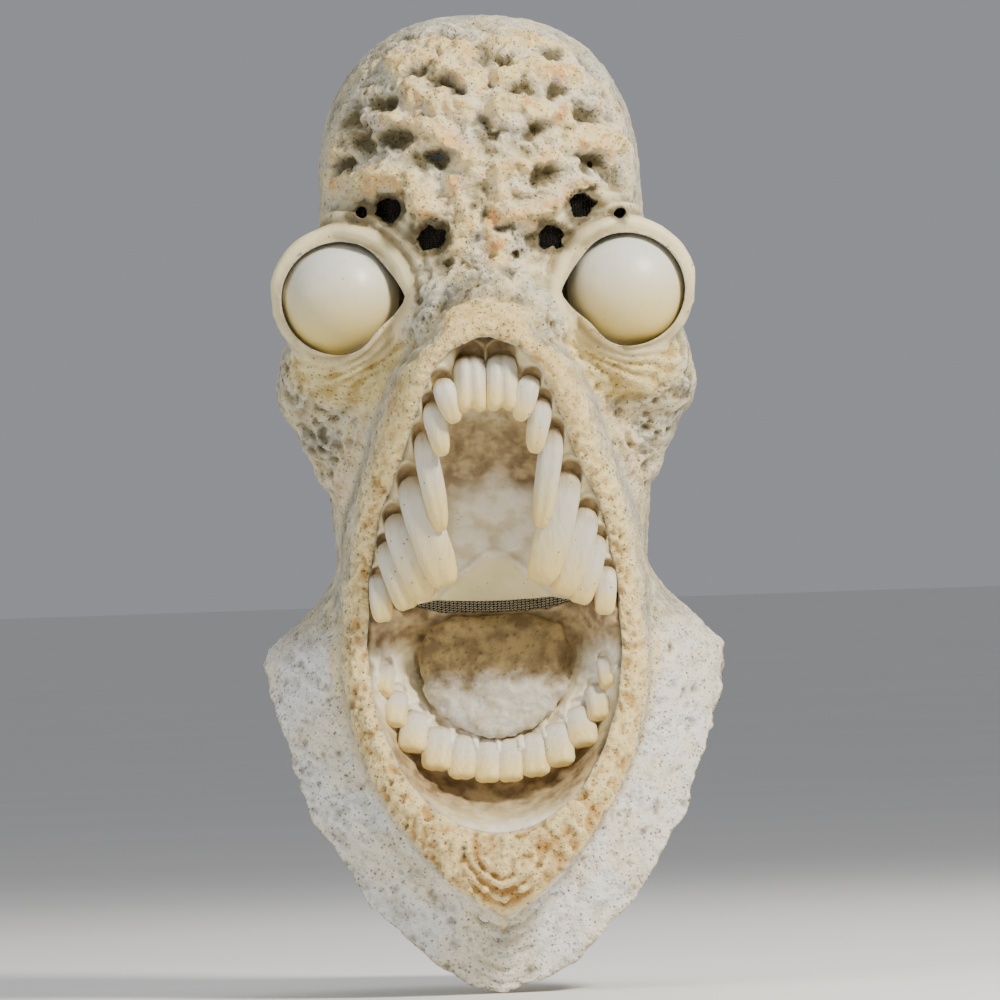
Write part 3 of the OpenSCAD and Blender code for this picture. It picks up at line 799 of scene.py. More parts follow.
# %% Zones of the skin
def skin_zones(points, normals, eye):
    """How strongly each point belongs to the front, the lips, the brow, the bib and so on."""
    x, z = points[:, 0], points[:, 2]
    ahead = ease(0.1, 0.55, -normals[:, 1])
    rim = rim_distance(x, z)
    muzzle = ease(-5 * MM, 2 * MM, muzzle_half(z) - np.abs(x))
    band = 19 * MM + 34 * MM * ease(mouth_bottom + 12 * MM, mouth_bottom - 14 * MM, z)
    lip = ease(-3 * MM, 2 * MM, rim) * (1 - ease(0, 8 * MM, rim - band)) * muzzle * ahead
    beside_nose = ease(-168 * MM, -185 * MM, z) * ease(-290 * MM, -250 * MM, z)
    return SimpleNamespace(
        ahead=ahead, muzzle=muzzle, lip=lip,
        lip_edge=bump(rim - band - 6 * MM, 2.6 * MM) * muzzle * ahead,
        top_lip=ease(-245 * MM, -215 * MM, z),
        bib=ease(-318 * MM, -352 * MM, z) * (1 - lip) * (1 - muzzle * (rim < 30 * MM)),
        face=ahead * ease(-420 * MM, -300 * MM, z),
        brow=ahead * ease(-160 * MM, -128 * MM, z),
        hollow=beside_nose * (1 - muzzle) * (1 - eye.bag) * ahead,
        rough=(1 - 0.93 * np.clip(eye.lid, 0, 1)) * (1 - 0.72 * eye.bag))


print("zones of the skin ready")


# %% Marks on the lips and the chin
CHIN_FOLD = 7.4 * MM


def lip_height(points, zone, cast):
    """Height of the steps across the lip, its craters, and the curved folds of the chin."""
    x, z = points[:, 0], points[:, 2]
    along = np.arctan2(x, gape_z - z)
    steps = np.sin(along * 21 + 3.5 * cast.broad) * ease(-330 * MM, -370 * MM, z)
    lip = 1.9 * cast.craggy + 0.9 * steps - 1.6 * cast.crater + 0.8 * cast.grit
    below = ease(mouth_bottom - 4 * MM, mouth_bottom - 14 * MM, z) * (points[:, 1] < -60 * MM)
    reach = np.hypot(x - 2 * MM, z - mouth_bottom)
    chin = ease(18 * MM, 26 * MM, reach) * ease(26 * MM, 12 * MM, np.abs(x)) * below
    folds = np.cos((reach + 0.35 * np.abs(x)) / CHIN_FOLD * math.tau)
    return (zone.lip * (1 - 0.7 * zone.top_lip) * lip - 1.6 * zone.lip_edge + 2.0 * chin * folds) * MM


print("chin folds every", CHIN_FOLD)


# %% Marks on the forehead and the neck
def line_marks(points, drift, zone, furrows):
    """Height of the ridges, pits, tendons and furrows, how far each point is a crest, and how far it is
    painted in shade as a pit or a brow hole rim.
    """
    x, z = (points[:, [0, 2]] + drift).T
    ridge, on_ridge = line_height(x, z, RIDGES)
    tendon, on_tendon = line_height(x, z, TENDONS)
    pit, in_pit = pit_depth(x, z, PITS)
    groove = bump(points[:, 0] - (5 * MM + drift[:, 0]), 3.2 * MM)
    groove *= ease(-125 * MM, -100 * MM, z) * ease(5 * MM, -12 * MM, z)
    forehead = 2.2 * ridge - 1.4 * pit - 2.6 * MM * groove + 3.0 * MM * furrows
    neck = 1.5 * tendon + 1.4 * MM * furrows * (1 - zone.brow) * (1 - zone.bib) * (1 - zone.lip)
    crests = (1.3 * on_ridge + 0.5 * ease(0.2, 0.8, furrows)) * zone.brow + 0.6 * on_tendon * zone.ahead
    # Painted shade round the brow holes, where their dark inside shows.
    hole_shade = sum(bump(np.hypot(x - px * MM, z - pz * MM), 1.25 * r * MM) for px, pz, r in BROW_HOLES)
    return SimpleNamespace(height=zone.rough * (zone.brow * forehead + zone.ahead * neck),
                           crests=np.clip(crests, 0, 1) * zone.rough * (1 - in_pit),
                           deep=in_pit * zone.brow + hole_shade * zone.ahead)


print("forehead marks ready")


# %% All the marks together
def sculpt_skin(piece):
    """Moves every vertex out or in by the sum of its marks, and stores what the colours follow."""
    mesh = piece.data
    points, normals = points_of(mesh), normals_of(mesh)
    drift = np.stack([lumps(points, 12 * MM, 3), lumps(points + 7, 12 * MM, 3)], 1) * 4.5 * MM
    cast, eye = skin_texture(points, *(points[:, [0, 2]] + drift).T), eye_marks(points)
    zone = skin_zones(points, normals, eye)
    lines = line_marks(points, drift, zone, cast.furrows)

    height = (0.7 * cast.broad + 0.6 * cast.grit * zone.rough) * MM
    bare = zone.rough * (1 - zone.bib) * (1 - zone.lip) * (0.3 + 0.7 * zone.face)
    height += bare * (1.9 * cast.craggy - 1.4 * cast.pores - 2.4 * cast.sponge) * MM
    height += lines.height + eye_height(eye, cast) + lip_height(points, zone, cast)
    height += zone.bib * (1.8 * bib_wrinkles(points) - cast.pores + 0.5 * cast.craggy) * MM

    # Painted shade: the pit mask darkens the crease along the lip edge, craters, pores, sponge holes and the
    # hollow beside the nose.
    deep = 0.35 * zone.lip_edge + (0.45 * cast.crater + 0.5 * cast.pores) * zone.rough
    deep += 0.8 * cast.sponge * zone.rough * (1 - zone.lip) + 0.6 * zone.hollow * ease(0.1, -0.7, cast.craggy)
    masks = {"relief": height / (3 * MM), "ridge": lines.crests, "pit": np.clip(deep + lines.deep, 0, 1),
             "lip": zone.lip, "lid": np.clip(eye.lid, 0, 1) * zone.ahead, "bag": eye.bag * zone.ahead,
             "bib": zone.bib, "outside": np.ones(len(points))}
    for name, values in masks.items():
        keep_mask(mesh, name, values)
    set_points(mesh, points + normals * height[:, None])


sculpt_skin(skin)
print("skin sculpted")


# %% [markdown]
# ## Making the skin hollow
# The real skin is 2 to 3 mm thick because the latex is poured into a mould and out
# again. Here the clay is solid, so a second body is made 3 mm inside it by way of a
# volume, and a Boolean takes it out. Balls and outlines then cut the eye openings, the
# mouth, the holes in the brow and the ragged hem, as scissors do on the cast.

# %% The space inside
def inner_body(body, wall, voxel):
    """A smooth body one wall thickness inside another."""
    fog = bpy.data.objects.new("inner_fog", bpy.data.volumes.new("inner_fog"))
    bpy.context.scene.collection.objects.link(fog)
    fill = fog.modifiers.new("fill", "MESH_TO_VOLUME")
    fill.object = body
    fill.resolution_mode = "VOXEL_SIZE"
    fill.voxel_size = voxel
    fill.interior_band_width = 2 * wall
    inner = new_piece(bmesh.new(), "inner_body")
    modify(inner, "VOLUME_TO_MESH", object=fog, threshold=0.5)
    bpy.data.objects.remove(fog)
    return inner


def cut_away(piece, tool):
    modify(piece, "BOOLEAN", operation="DIFFERENCE", solver="MANIFOLD", object=tool)
    bpy.data.objects.remove(tool)


inner = inner_body(skin, WALL, 3.2 * MM)
print("inner body faces", len(inner.data.polygons), np.ptp(points_of(inner.data), axis=0).round(3))
cut_away(skin, inner)
print("hollow skin faces", len(skin.data.polygons))


# %% Openings
def outline_tool(outline, front, back, name):
    """A tool with the given outline in the front view, for cutting along Y."""
    bm = bmesh.new()
    ring = [bm.verts.new((px, front, pz)) for px, pz in outline]
    face = bm.faces.new(ring)
    sides = bmesh.ops.extrude_face_region(bm, geom=[face])["geom"]
    far = [g for g in sides if isinstance(g, bmesh.types.BMVert)]
    bmesh.ops.translate(bm, verts=far, vec=(0, back - front, 0))
    bmesh.ops.triangulate(bm, faces=[f for f in bm.faces if len(f.verts) > 4])
    bmesh.ops.recalc_face_normals(bm, faces=bm.faces)
    return new_piece(bm, name)


def eye_outline(side):
    """A round opening with a point at the inner corner."""
    centre, radius = eyes[side]
    inward = 1 if side == "left" else -1
    turns = np.linspace(0, math.tau, 72, endpoint=False)
    point = 3.6 * MM * np.exp(-(np.abs(np.angle(np.exp(1j * (turns + 0.02)))) / 0.2) ** 1.3)
    low = np.abs(np.angle(np.exp(1j * (turns + 0.72))))
    high = np.abs(np.angle(np.exp(1j * (turns - 0.62))))
    reach = radius * (0.945 + 0.02 * np.cos(2 * turns) - 0.15 * np.exp(-(low / 0.45) ** 2)
                      - 0.06 * np.exp(-(high / 0.4) ** 2)) + point
    return np.stack([centre[0] + inward * reach * np.cos(turns), centre[2] + reach * np.sin(turns)], 1)


def ball_tool(centre, radii, rough=0.0):
    piece = new_piece(clay_ball(centre, radii), "ball_tool")
    if rough:
        points = points_of(piece.data)
        away = points - centre
        set_points(piece.data, centre + away * (1 + rough * lumps(points, 7 * MM, 2)[:, None]))
    return piece


for side, (centre, radius) in eyes.items():
    cut_away(skin, ball_tool(centre, [radius + 0.7 * MM] * 3))
    cut_away(skin, outline_tool(eye_outline(side), -0.2, centre[1], "lid_tool"))
face_tree = BVHTree.FromObject(skin, bpy.context.evaluated_depsgraph_get())
HOLE_DEPTH = 13 * MM
for px, pz, radius in BROW_HOLES:
    place = face_tree.ray_cast(Vector((px * MM, -0.3, pz * MM)), Vector((0, 1, 0)))[0]
    cut_away(skin, ball_tool(np.array(place), (radius * 1.05 * MM, HOLE_DEPTH, radius * MM), 0.4))
print("holes cut", len(skin.data.polygons))


# %% Edges of the holes and the mouth opening
def shade_hole_rims(piece):
    """Paints shade on the cut edges of the brow holes, which cutting leaves without a mask."""
    points = points_of(piece.data)
    near = np.zeros(len(points))
    for px, pz, radius in BROW_HOLES:
        close = np.hypot(points[:, 0] - px * MM, points[:, 2] - pz * MM) < 1.3 * radius * MM
        near = np.maximum(near, close * (points[:, 1] < -50 * MM))
    for name in ("pit", "outside"):
        values = np.empty(len(points))
        piece.data.attributes[name].data.foreach_get("value", values)
        keep_mask(piece.data, name, np.maximum(values, near))


shade_hole_rims(skin)
RIM_WOBBLE = 0.9 * MM
wobble = np.array([[lumps([[px, step, pz]], 16 * MM, 2)[0] for step in (0, 9)] for px, pz in mouth_rim])
mouth_cut = (mouth_rim + RIM_WOBBLE * wobble)[1:-1]
cut_away(skin, outline_tool(mouth_cut, -0.25, -0.03, "mouth_tool"))
print("openings cut", len(skin.data.polygons))

# %% The hem
# Lower edge of the bib in front: distance from the middle, and height, in millimetres
HEM = np.array([[0, -537], [20, -531], [38, -519], [55, -500], [72, -486], [88, -459], [102, -440],
                [114, -411], [126, -380], [135, -350]])
HEM_HALF, HEM_DEEP, HEM_POWER = 138, 112, 2.2  # outline of the bib seen from below
NAPE_HEM, SIDE_RISE = -438, 90  # height of the hem behind, and its rise to the sides


def hem_height(angle):
    """Height of the hem at an angle from the front."""
    around = abs(angle) / (math.pi / 2)
    if around < 1:
        side, ahead = math.sin(abs(angle)), math.cos(angle)
        reach = ((side / HEM_HALF) ** HEM_POWER + (ahead / HEM_DEEP) ** HEM_POWER) ** (-1 / HEM_POWER)
        across = (0.93 + 0.07 * around ** 4) * reach * side
        return float(np.interp(across, HEM[:, 0], HEM[:, 1])) * MM
    return (NAPE_HEM + SIDE_RISE * (2 - around) ** 1.3) * MM


HEM_TOOL = 0.24


def hem_tool():
    """Everything below the hem, with the ragged edge that scissors leave."""
    bm = bmesh.new()
    bmesh.ops.create_circle(bm, segments=220, radius=HEM_TOOL)
    rim = list(bm.edges)
    for factor in (0.75, 0.58, 0.45, 0.34, 0.22, 0.1):
        ring = bmesh.ops.extrude_edge_only(bm, edges=rim)["geom"]
        corners = {g for g in ring if isinstance(g, bmesh.types.BMVert)}
        for vertex in corners:
            vertex.co = Vector((vertex.co.x, vertex.co.y, 0)).normalized() * HEM_TOOL * factor
        rim = [g for g in ring if isinstance(g, bmesh.types.BMEdge) and corners.issuperset(g.verts)]
    bmesh.ops.contextual_create(bm, geom=rim)
    for vertex in bm.verts:
        angle = math.atan2(vertex.co.x, -vertex.co.y)
        ragged = 3 * MM * noise.fractal(Vector((math.sin(angle), math.cos(angle), 0)) * 5, 0.6, 2.0, 5)
        share = min(1, math.hypot(vertex.co.x, vertex.co.y) / 0.06)
        vertex.co.z = share * (hem_height(angle) + ragged) + (1 - share) * -0.45
    down = bmesh.ops.extrude_face_region(bm, geom=list(bm.faces))["geom"]
    for vertex in (g for g in down if isinstance(g, bmesh.types.BMVert)):
        vertex.co.z = -0.8
    bmesh.ops.triangulate(bm, faces=[f for f in bm.faces if len(f.verts) > 4])
    bmesh.ops.recalc_face_normals(bm, faces=bm.faces)
    return new_piece(bm, "hem_tool")


cut_away(skin, hem_tool())


# %% Fewer triangles where the skin is plain
SKIN_TRIANGLES = 196000


def triangles_of(piece):
    return sum(len(p.vertices) - 2 for p in piece.data.polygons)


before = triangles_of(skin)
modify(skin, "DECIMATE", ratio=min(1, SKIN_TRIANGLES / before))
print("skin triangles", before, "thinned to", triangles_of(skin), [a.name for a in skin.data.attributes])

# %% [markdown]
# ## The finish of the skin
# The latex is bare, so its colour is that of the raw cast: grey cream, yellow to orange
# where it aged on the crests and on the lips, and bluish white on the bib. Low relief is
# painted darker, and the pits, pores and hollows dark olive, as painted shade. The sculpting
# step stored where each of those lies, so the colours and the painted shade follow the
# relief. Pores too small for the mesh are a bump, painted darker as shade.

# %% Skin latex
SKIN_MASKS = ("relief", "ridge", "pit", "lip", "lid", "bag", "bib", "outside")


def skin_colour(f, m, level, patch, dots):
    """The base colour, laid from the bare latex up to the painted shade in the pits and pores."""
    cloud = f.noise(34 * MM)
    # Painted shade: the latex is painted darker where the relief is low; the noise in the level adds random
    # tone.
    base = f.mix(f.between(-0.7, 0.75, level), "7A7258", "E2DAC2")
    base = f.mix(f.between(0.45, 0.75, cloud) * 0.5, base, "C9C8BE")
    warm = f.mix(f.between(0.47, 0.62, patch), "F0D89A", "E3AE68")
    base = f.mix(m.ridge * f.between(0.28, 0.5, patch + m.relief * 0.1), base, warm)
    base = f.mix(f.between(0.44, 0.6, f.noise(23 * MM)) * (1 - m.bib) * 0.45 * m.outside, base, "E8D49C")
    # The lip, bag, lid and bib colours below are also painted darker where the relief is low: painted shade.
    base = f.mix(m.lip * 0.92, base, f.mix(f.between(-0.8, 0.4, level), "C2964F", "F9DF9C"))
    orange = f.between(0.62, 0.72, f.noise(7 * MM, 2)) * (m.ridge + m.lip * 0.6) * 0.55
    base = f.mix(orange, base, "DB9A5C")
    base = f.mix(m.bag * 0.92, base, f.mix(f.between(-0.5, 0.4, level), "BF9F55", "F3DF9C"))
    base = f.mix(m.lid * 0.92, base, f.mix(f.between(-0.4, 0.7, level), "B5A176", "F3E4AF"))
    bibs = f.mix(f.between(-0.9, 0.3, level), "B8B19D", "F1EFEA")
    base = f.mix(m.bib, base, f.mix(f.between(0.40, 0.60, cloud) * 0.8, bibs, "F3E7CA"))
    # Painted shade: the pits, craters, pores, creases, hollows and brow hole rims are painted dark olive.
    base = f.mix(m.pit * 0.85, base, "544827")
    # Painted shade in the small pores that the bump presses in.
    pore = f.between(0.24, 0.10, dots) * f.between(0.48, 0.62, f.noise(9 * MM))
    base = f.mix(pore * 0.6 * (1 - 0.8 * m.lid), base, "54492F")
    base = f.mix(f.between(0.13, 0.07, f.cells(9 * MM)) * m.outside * 0.6, base, "3A3226")
    # The inner face and the cut edges are a flat, darker cream: painted shade for the inside of the shell.
    return f.mix(m.outside, "CDC2A4", base)


def skin_finish():
    """Bare latex: its colour, its roughness, and pores that fade out on the smooth lids."""
    f = Finish("skin_latex", Specular_IOR_Level=0.35)
    m = SimpleNamespace(**{name: f.mask(name) for name in SKIN_MASKS})
    patch, grit, dots = f.noise(11 * MM, 4), f.noise(1.5 * MM, 3, 0.65), f.cells(2.6 * MM)
    level = m.relief + (patch - 0.5) * 0.8 + (grit - 0.5) * 0.5
    fine = f.raise_surface(grit, 0.45 * MM)
    pored = f.raise_surface(f.between(0.05, 0.34, dots), 0.9 * MM, fine)
    rolled = f.raise_surface(f.noise(5 * MM, 4, 0.6), 2.2 * MM, pored)
    soft = f.raise_surface(f.noise(2 * MM, 2), 0.1 * MM)
    normal = f.node("Mix", {"data_type": "VECTOR"}, {0: m.lid * 0.9, 4: rolled, 5: soft}, 1)
    rough = 0.78 - m.lid * 0.25 - f.between(0.4, 0.7, patch) * 0.12
    return f.done(Base_Color=skin_colour(f, m, level, patch, dots), Roughness=rough, Normal=normal)


def dress(piece, material, slot, *replaced, body="mask"):
    """Gives a piece its finish and its body, and hides the CAD nodes that it stands for."""
    piece.data.materials.clear()
    piece.data.materials.append(material)
    shade_smooth(piece)
    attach(piece, body)
    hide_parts(*replaced)
    return piece


dress(skin, skin_finish(), "skin_latex", "mask_skin")
print("skin dressed")

# %% [markdown]
# ## Eyes
# Each eye is a smooth cast dome, blank and satin, glued behind its lids. A ball with its
# pole facing forward is cut by a plane, and Solidify gives it its wall.

# %% Eye domes
def eye_finish():
    f = Finish("eye_resin", Coat_Weight=0.15, Coat_Roughness=0.3, Specular_IOR_Level=0.4)
    height = f.node("SeparateXYZ", {}, {0: f.place}, 2)
    cloud = f.noise(16 * MM, 3)
    # Painted light: the dome is greyish white at the top, as lit from above, and cream yellow lower down.
    level = f.between(-0.172, -0.122, height + (cloud - 0.5) * 0.012)
    base = f.mix(level, "E8D07C", "DFDDD1")
    base = f.mix(f.between(0.5, 0.7, f.noise(6 * MM)) * 0.18, base, "C9BF98")
    speck = f.between(0.07, 0.04, f.cells(11 * MM))
    base = f.mix(speck * 0.7, base, "6B6046")
    rough = 0.42 + (f.noise(5 * MM) - 0.5) * 0.15
    normal = f.raise_surface(f.noise(3 * MM, 3), 0.12 * MM)
    return f.done(Base_Color=base, Roughness=rough, Normal=normal)


def make_eye(side, finish):
    node = side + "_eye_dome"
    centre, radius = eyes[side]
    bm = bmesh.new()
    bmesh.ops.create_uvsphere(bm, u_segments=72, v_segments=48, radius=radius)
    bmesh.ops.rotate(bm, verts=bm.verts, cent=(0, 0, 0), matrix=Matrix.Rotation(math.pi / 2, 3, "X"))
    bmesh.ops.translate(bm, verts=bm.verts, vec=centre)
    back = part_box(node)[1].y
    bmesh.ops.bisect_plane(bm, geom=list(bm.verts) + list(bm.edges) + list(bm.faces), plane_co=(0, back, 0),
                           plane_no=(0, 1, 0), clear_outer=True)
    bmesh.ops.recalc_face_normals(bm, faces=bm.faces)
    if sum(f.normal.dot(f.calc_center_median() - Vector(centre)) for f in bm.faces) < 0:
        bmesh.ops.reverse_faces(bm, faces=bm.faces)
    dome = new_piece(bm, node + "_cast")
    modify(dome, "SOLIDIFY", thickness=2.5 * MM, offset=-1)
    return dress(dome, finish, "eye_resin", node)


eye_latex = eye_finish()
for side in eyes:
    print(make_eye(side, eye_latex).name, round(eyes[side][1], 4))

# %% [markdown]
# ## Palate and mouth bowl
# Behind the lips two cast liners close the mouth: a vaulted palate above the breathing
# slot, and a bowl with the lower gum below it. A fine grid is laid on the CAD solid as
# seen from the front, then pressed with the same kinds of mark as the skin.

# %% Where the teeth stand
UPPER_KINDS = ["incisor", "lateral", "canine", "fang", "molar_1", "molar_2", "molar_3", "molar_4"]
LOWER_KINDS = ["incisor", "lateral", "canine", "premolar", "molar_1", "molar_2"]
SLOT_Z = gape_z + 0.11 * mouth_height
SLOT_SAG = 7 * MM


def tooth_frame(node):
    """Root, tip, side direction, facing direction and half sizes of a CAD tooth."""
    points = np.array([v.co for v in nodes[node].data.vertices])
    middle = points.mean(0)
    axis = np.linalg.svd(points - middle, full_matrices=False)[2][0]
    axis = axis if axis[2] < 0 else -axis
    along = (points - middle) @ axis
    root, tip = middle + axis * along.min(), middle + axis * along.max()
    facing = np.array([0, -1.0, 0]) - axis * -axis[1]
    facing /= np.linalg.norm(facing)
    side = np.cross(axis, facing)
    half_side = np.ptp((points - middle) @ side) / 2
    half_deep = np.ptp((points - middle) @ facing) / 2
    return {"root": root, "tip": tip, "side": side, "facing": facing, "half": half_side, "deep": half_deep}


tooth_names = [f"{row}_{kind}_{side}" for row, kinds in (("upper", UPPER_KINDS), ("lower", LOWER_KINDS))
               for kind in kinds for side in eyes]
teeth = {name: tooth_frame(name) for name in tooth_names}
longest = max(np.linalg.norm(t["tip"] - t["root"]) for t in teeth.values())
print("teeth", len(teeth), "longest", round(longest, 4))


# %% Liner sheets
LINER_LAP = 4.5 * MM  # how far a liner reaches behind the lip


def lay_liner(node, columns, rows, place):
    """A grid laid on the front of a liner's CAD solid, with its vertices in rows from the bottom up."""
    bm, verts, across = ordered_grid(columns, rows)
    s = np.array([v.co.x for v in verts])
    t = (1 - np.array([v.co.y for v in verts])) / 2
    x, z = place(s, t)
    tree = BVHTree.FromObject(nodes[node], bpy.context.evaluated_depsgraph_get())
    y = front_depth(tree, x * 0.995, z, deepest=-40 * MM).reshape(-1, across)
    cols = np.arange(across)
    rows_known = [i for i, row in enumerate(y) if (~np.isnan(row)).sum() > 3]
    for i in rows_known:
        known = ~np.isnan(y[i])
        y[i] = np.interp(cols, cols[known], y[i][known])
    for i in range(len(y)):
        if i not in rows_known:
            y[i] = y[min(rows_known, key=lambda k: abs(k - i))]
    y = smooth_rows(y, 10).ravel()
    return bm, verts, x, y, z


def slot_line(s, edge):
    """Height of the breathing slot's edge: +1 for the palate above it, -1 for the bowl below."""
    gap = (7 - 6.6 * ease(0.40, 0.62, np.abs(s))) * MM
    return SLOT_Z - SLOT_SAG * (1 - s * s) + edge * gap / 2


def palate_place(s, t):
    """Place of a point of the palate sheet, from side to side and from the top down."""
    z = palate_high.z + (slot_line(s, 1) - palate_high.z) * t
    return s * (mouth_half(np.minimum(z, mouth_top - 6 * MM)) + LINER_LAP), z


def bowl_place(s, t):
    """Place of a point of the bowl sheet, from side to side and from the slot down."""
    edge = SLOT_Z + (bowl_low.z - SLOT_Z) * t
    share = np.clip((gape_z - edge) / (gape_z - bowl_low.z + 2 * MM), 0, 1)
    round_half = (half_mouth + LINER_LAP) * np.sqrt(1 - share ** 2)
    half = np.where(edge < gape_z, round_half, mouth_half(edge) + LINER_LAP)
    top = slot_line(s, -1)
    return s * half, top + (bowl_low.z - top) * t


print("palate and bowl overlap the lips by", round(LINER_LAP, 4))


# %% Walls of the liners and collars round the teeth
def close_liner(bm, verts, x, y, z, name, masks, thick=2.2 * MM):
    """Places the grid and gives it its wall, with its marks stored."""
    for vertex, place in zip(verts, np.stack([x, y, z], 1)):
        vertex.co = place
    if sum(f.normal.y for f in bm.faces) > 0:
        bmesh.ops.reverse_faces(bm, faces=bm.faces)
    bm.verts.index_update()
    order = np.array([v.index for v in verts])
    piece = new_piece(bm, name)
    for mask, values in masks.items():
        placed = np.empty(len(values))
        placed[order] = values
        keep_mask(piece.data, mask, placed)
    return modify(piece, "SOLIDIFY", thickness=thick, offset=-1)


def gum_collars(x, z, row):
    """Swelling of the gum round each tooth, and the shadowed socket at its root."""
    collar, socket = np.zeros(len(x)), np.zeros(len(x))
    for name, t in teeth.items():
        if not name.startswith(row):
            continue
        step = (t["tip"] - t["root"])[[0, 2]]
        root = t["root"][[0, 2]]
        near = line_distance(x, z, [root, root + 0.16 * step])
        collar = np.maximum(collar, bump(near - t["half"] * 1.15, 2.2 * MM))
        socket = np.maximum(socket, 1 - ease(0.75, 1.15, near / t["half"]))
    return collar * (1 - socket), socket


print("liner helpers ready")


# %% Palate
def make_palate():
    bm, verts, x, y, z = lay_liner("palate", 120, 150, palate_place)
    points = np.stack([x, y, z], 1)
    craggy, broad, grit = crags(points, 9 * MM), lumps(points, 15 * MM, 2), lumps(points, 3 * MM, 2)
    collar, socket = gum_collars(x, z, "upper")
    off = np.abs(x - 1.5 * MM + 2 * MM * broad)
    flap_edge = -290 * MM - 0.8 * np.hypot(off, 6 * MM)
    flap = ease(2.5 * MM, -1.5 * MM, z - flap_edge) * ease(42 * MM, 30 * MM, off)
    back = ease(-206 * MM, -222 * MM, z + 4 * MM * craggy) * ease(36 * MM, 24 * MM, off)
    back *= ease(-262 * MM, -238 * MM, z + 0.4 * off + 5 * MM * broad)
    trough = ease(-232 * MM, -252 * MM, z) * ease(33 * MM, 18 * MM, off) * (1 - flap)
    rugae = np.sin((z - 0.4 * off + 7 * MM * broad) / (3.1 * MM))
    y = y + ease(-4 * MM, 3 * MM, rim_distance(x, z)) * 2.6 * MM
    y -= (1.6 * craggy * back + 0.7 * rugae * trough + 0.8 * broad + 0.25 * grit * (1 - flap)) * MM
    y -= 2.4 * MM * collar - 2.6 * MM * socket
    y += (3.4 * flap + 1.6 * back + 0.9 * bump(x, 1.8 * MM) * trough) * MM
    y += 3.2 * MM * trough * np.clip(1 - (off / (30 * MM)) ** 2, 0, 1)
    y -= 2.2 * MM * bump(z - flap_edge - 4 * MM, 2.6 * MM) * ease(42 * MM, 30 * MM, off)
    # The first mask below is mostly painted shade: darker behind the incisors, in the tooth sockets and along
    # the top arch under the lip, with some random colour from the broad lumps.
    arches = ease(-182 * MM, -176 * MM, z)
    masks = {"brown_and_shade": np.clip(0.9 * back + socket + 0.7 * arches + 0.3 * ease(0.2, 0.8, broad), 0, 1),
             "pale": np.clip(trough, 0, 1), "flap": flap, "relief": -craggy * back + 0.8 * rugae * trough}
    return close_liner(bm, verts, x, y, z, "palate_liner", masks)


def mouth_finish():
    f = Finish("mouth_latex", Specular_IOR_Level=0.4)
    brown_and_shade, pale, flap, relief = f.mask("brown_and_shade"), f.mask("pale"), f.mask("flap"), f.mask("relief")
    patch, grit = f.noise(9 * MM, 4), f.noise(1.6 * MM, 3, 0.6)
    dots = f.cells(3 * MM)
    base = f.mix(f.between(0.35, 0.65, patch), "D6C492", "EADCB2")
    whitish = f.mix(f.between(0.3, 0.65, patch + relief * 0.2), "E6DABC", "FCF6E6")
    base = f.mix(pale * 0.85, base, whitish)
    # Painted shade: the marked recesses, sockets and the vault behind the incisors are painted a dark tan,
    # varied at random and a little by the relief.
    recess_shade_tone = f.mix(f.between(0.3, 0.7, patch + relief * 0.2), "6F5433", "B59A6A")
    base = f.mix(brown_and_shade * f.between(0.2, 0.7, patch + brown_and_shade * 0.4) * 0.9, base, recess_shade_tone)
    base = f.mix(flap * 0.9, base, f.mix(patch, "F2E09A", "FBF0C2"))
    freckles = f.between(0.17, 0.08, dots) * f.between(0.5, 0.6, f.noise(12 * MM))
    base = f.mix(freckles * 0.6, base, "584630")
    fine = f.raise_surface(grit, 0.22 * MM)
    normal = f.raise_surface(f.noise(4 * MM, 3), 0.5 * MM, fine)
    return f.done(Base_Color=base, Roughness=0.62 - flap * 0.14 + (patch - 0.5) * 0.2, Normal=normal)


mouth_latex = mouth_finish()
palate = dress(make_palate(), mouth_latex, "mouth_latex", "palate")
print("palate triangles", triangles_of(palate))


# %% Mouth bowl
def make_bowl():
    bm, verts, x, y, z = lay_liner("mouth_bowl", 130, 120, bowl_place)
    points = np.stack([x, y, z], 1)
    craggy, broad, grit = crags(points, 10 * MM), lumps(points, 16 * MM, 2), lumps(points, 3 * MM, 2)
    collar, socket = gum_collars(x, z, "lower")
    arch = np.hypot(x / (0.435 * 2 * half_mouth), np.minimum(0, z - gape_z) / (0.20 * mouth_height))
    ridge = bump(arch - 1, 0.14)
    wall = ease(1.68, 1.80, arch + 0.05 * broad)
    cheek = ease(-352 * MM, -338 * MM, z) * ease(34 * MM, 46 * MM, np.abs(x))
    channel = bump(arch - 1.46, 0.22) * ease(-335 * MM, -355 * MM, z)
    y = y + ease(-4 * MM, 3 * MM, rim_distance(x, z)) * 2.6 * MM
    y -= (1.3 * craggy * (1 - wall) + 1.1 * broad + 0.3 * grit - 1.5 * channel) * MM
    y -= (1.8 * collar - 1.6 * socket + 1.2 * ridge * (0.5 + craggy)) * MM
    # The first mask here is painted shade: darker in the channel between the teeth and the lip, in the
    # recesses beside and under the tongue, and in the tooth sockets.
    masks = {"brown_and_shade": np.clip(cheek + channel * 1.1 + 0.8 * (arch < 0.75) + 0.3 * socket, 0, 1),
             "pale": np.clip(ridge * 1.2 + wall, 0, 1), "flap": np.zeros(len(x)), "relief": craggy}
    return close_liner(bm, verts, x, y, z, "mouth_bowl_liner", masks)


bowl = dress(make_bowl(), mouth_latex, "mouth_latex", "mouth_bowl")
print("bowl triangles", triangles_of(bowl))

# %% [markdown]
# ## Teeth
# The teeth are cast one by one and set in the gums: split incisors, long fangs and
# molars above, and short round-ended teeth that lean out over the lower lip. A ball is
# drawn out along the CAD tooth's own axis, and its girth follows a tooth's profile.

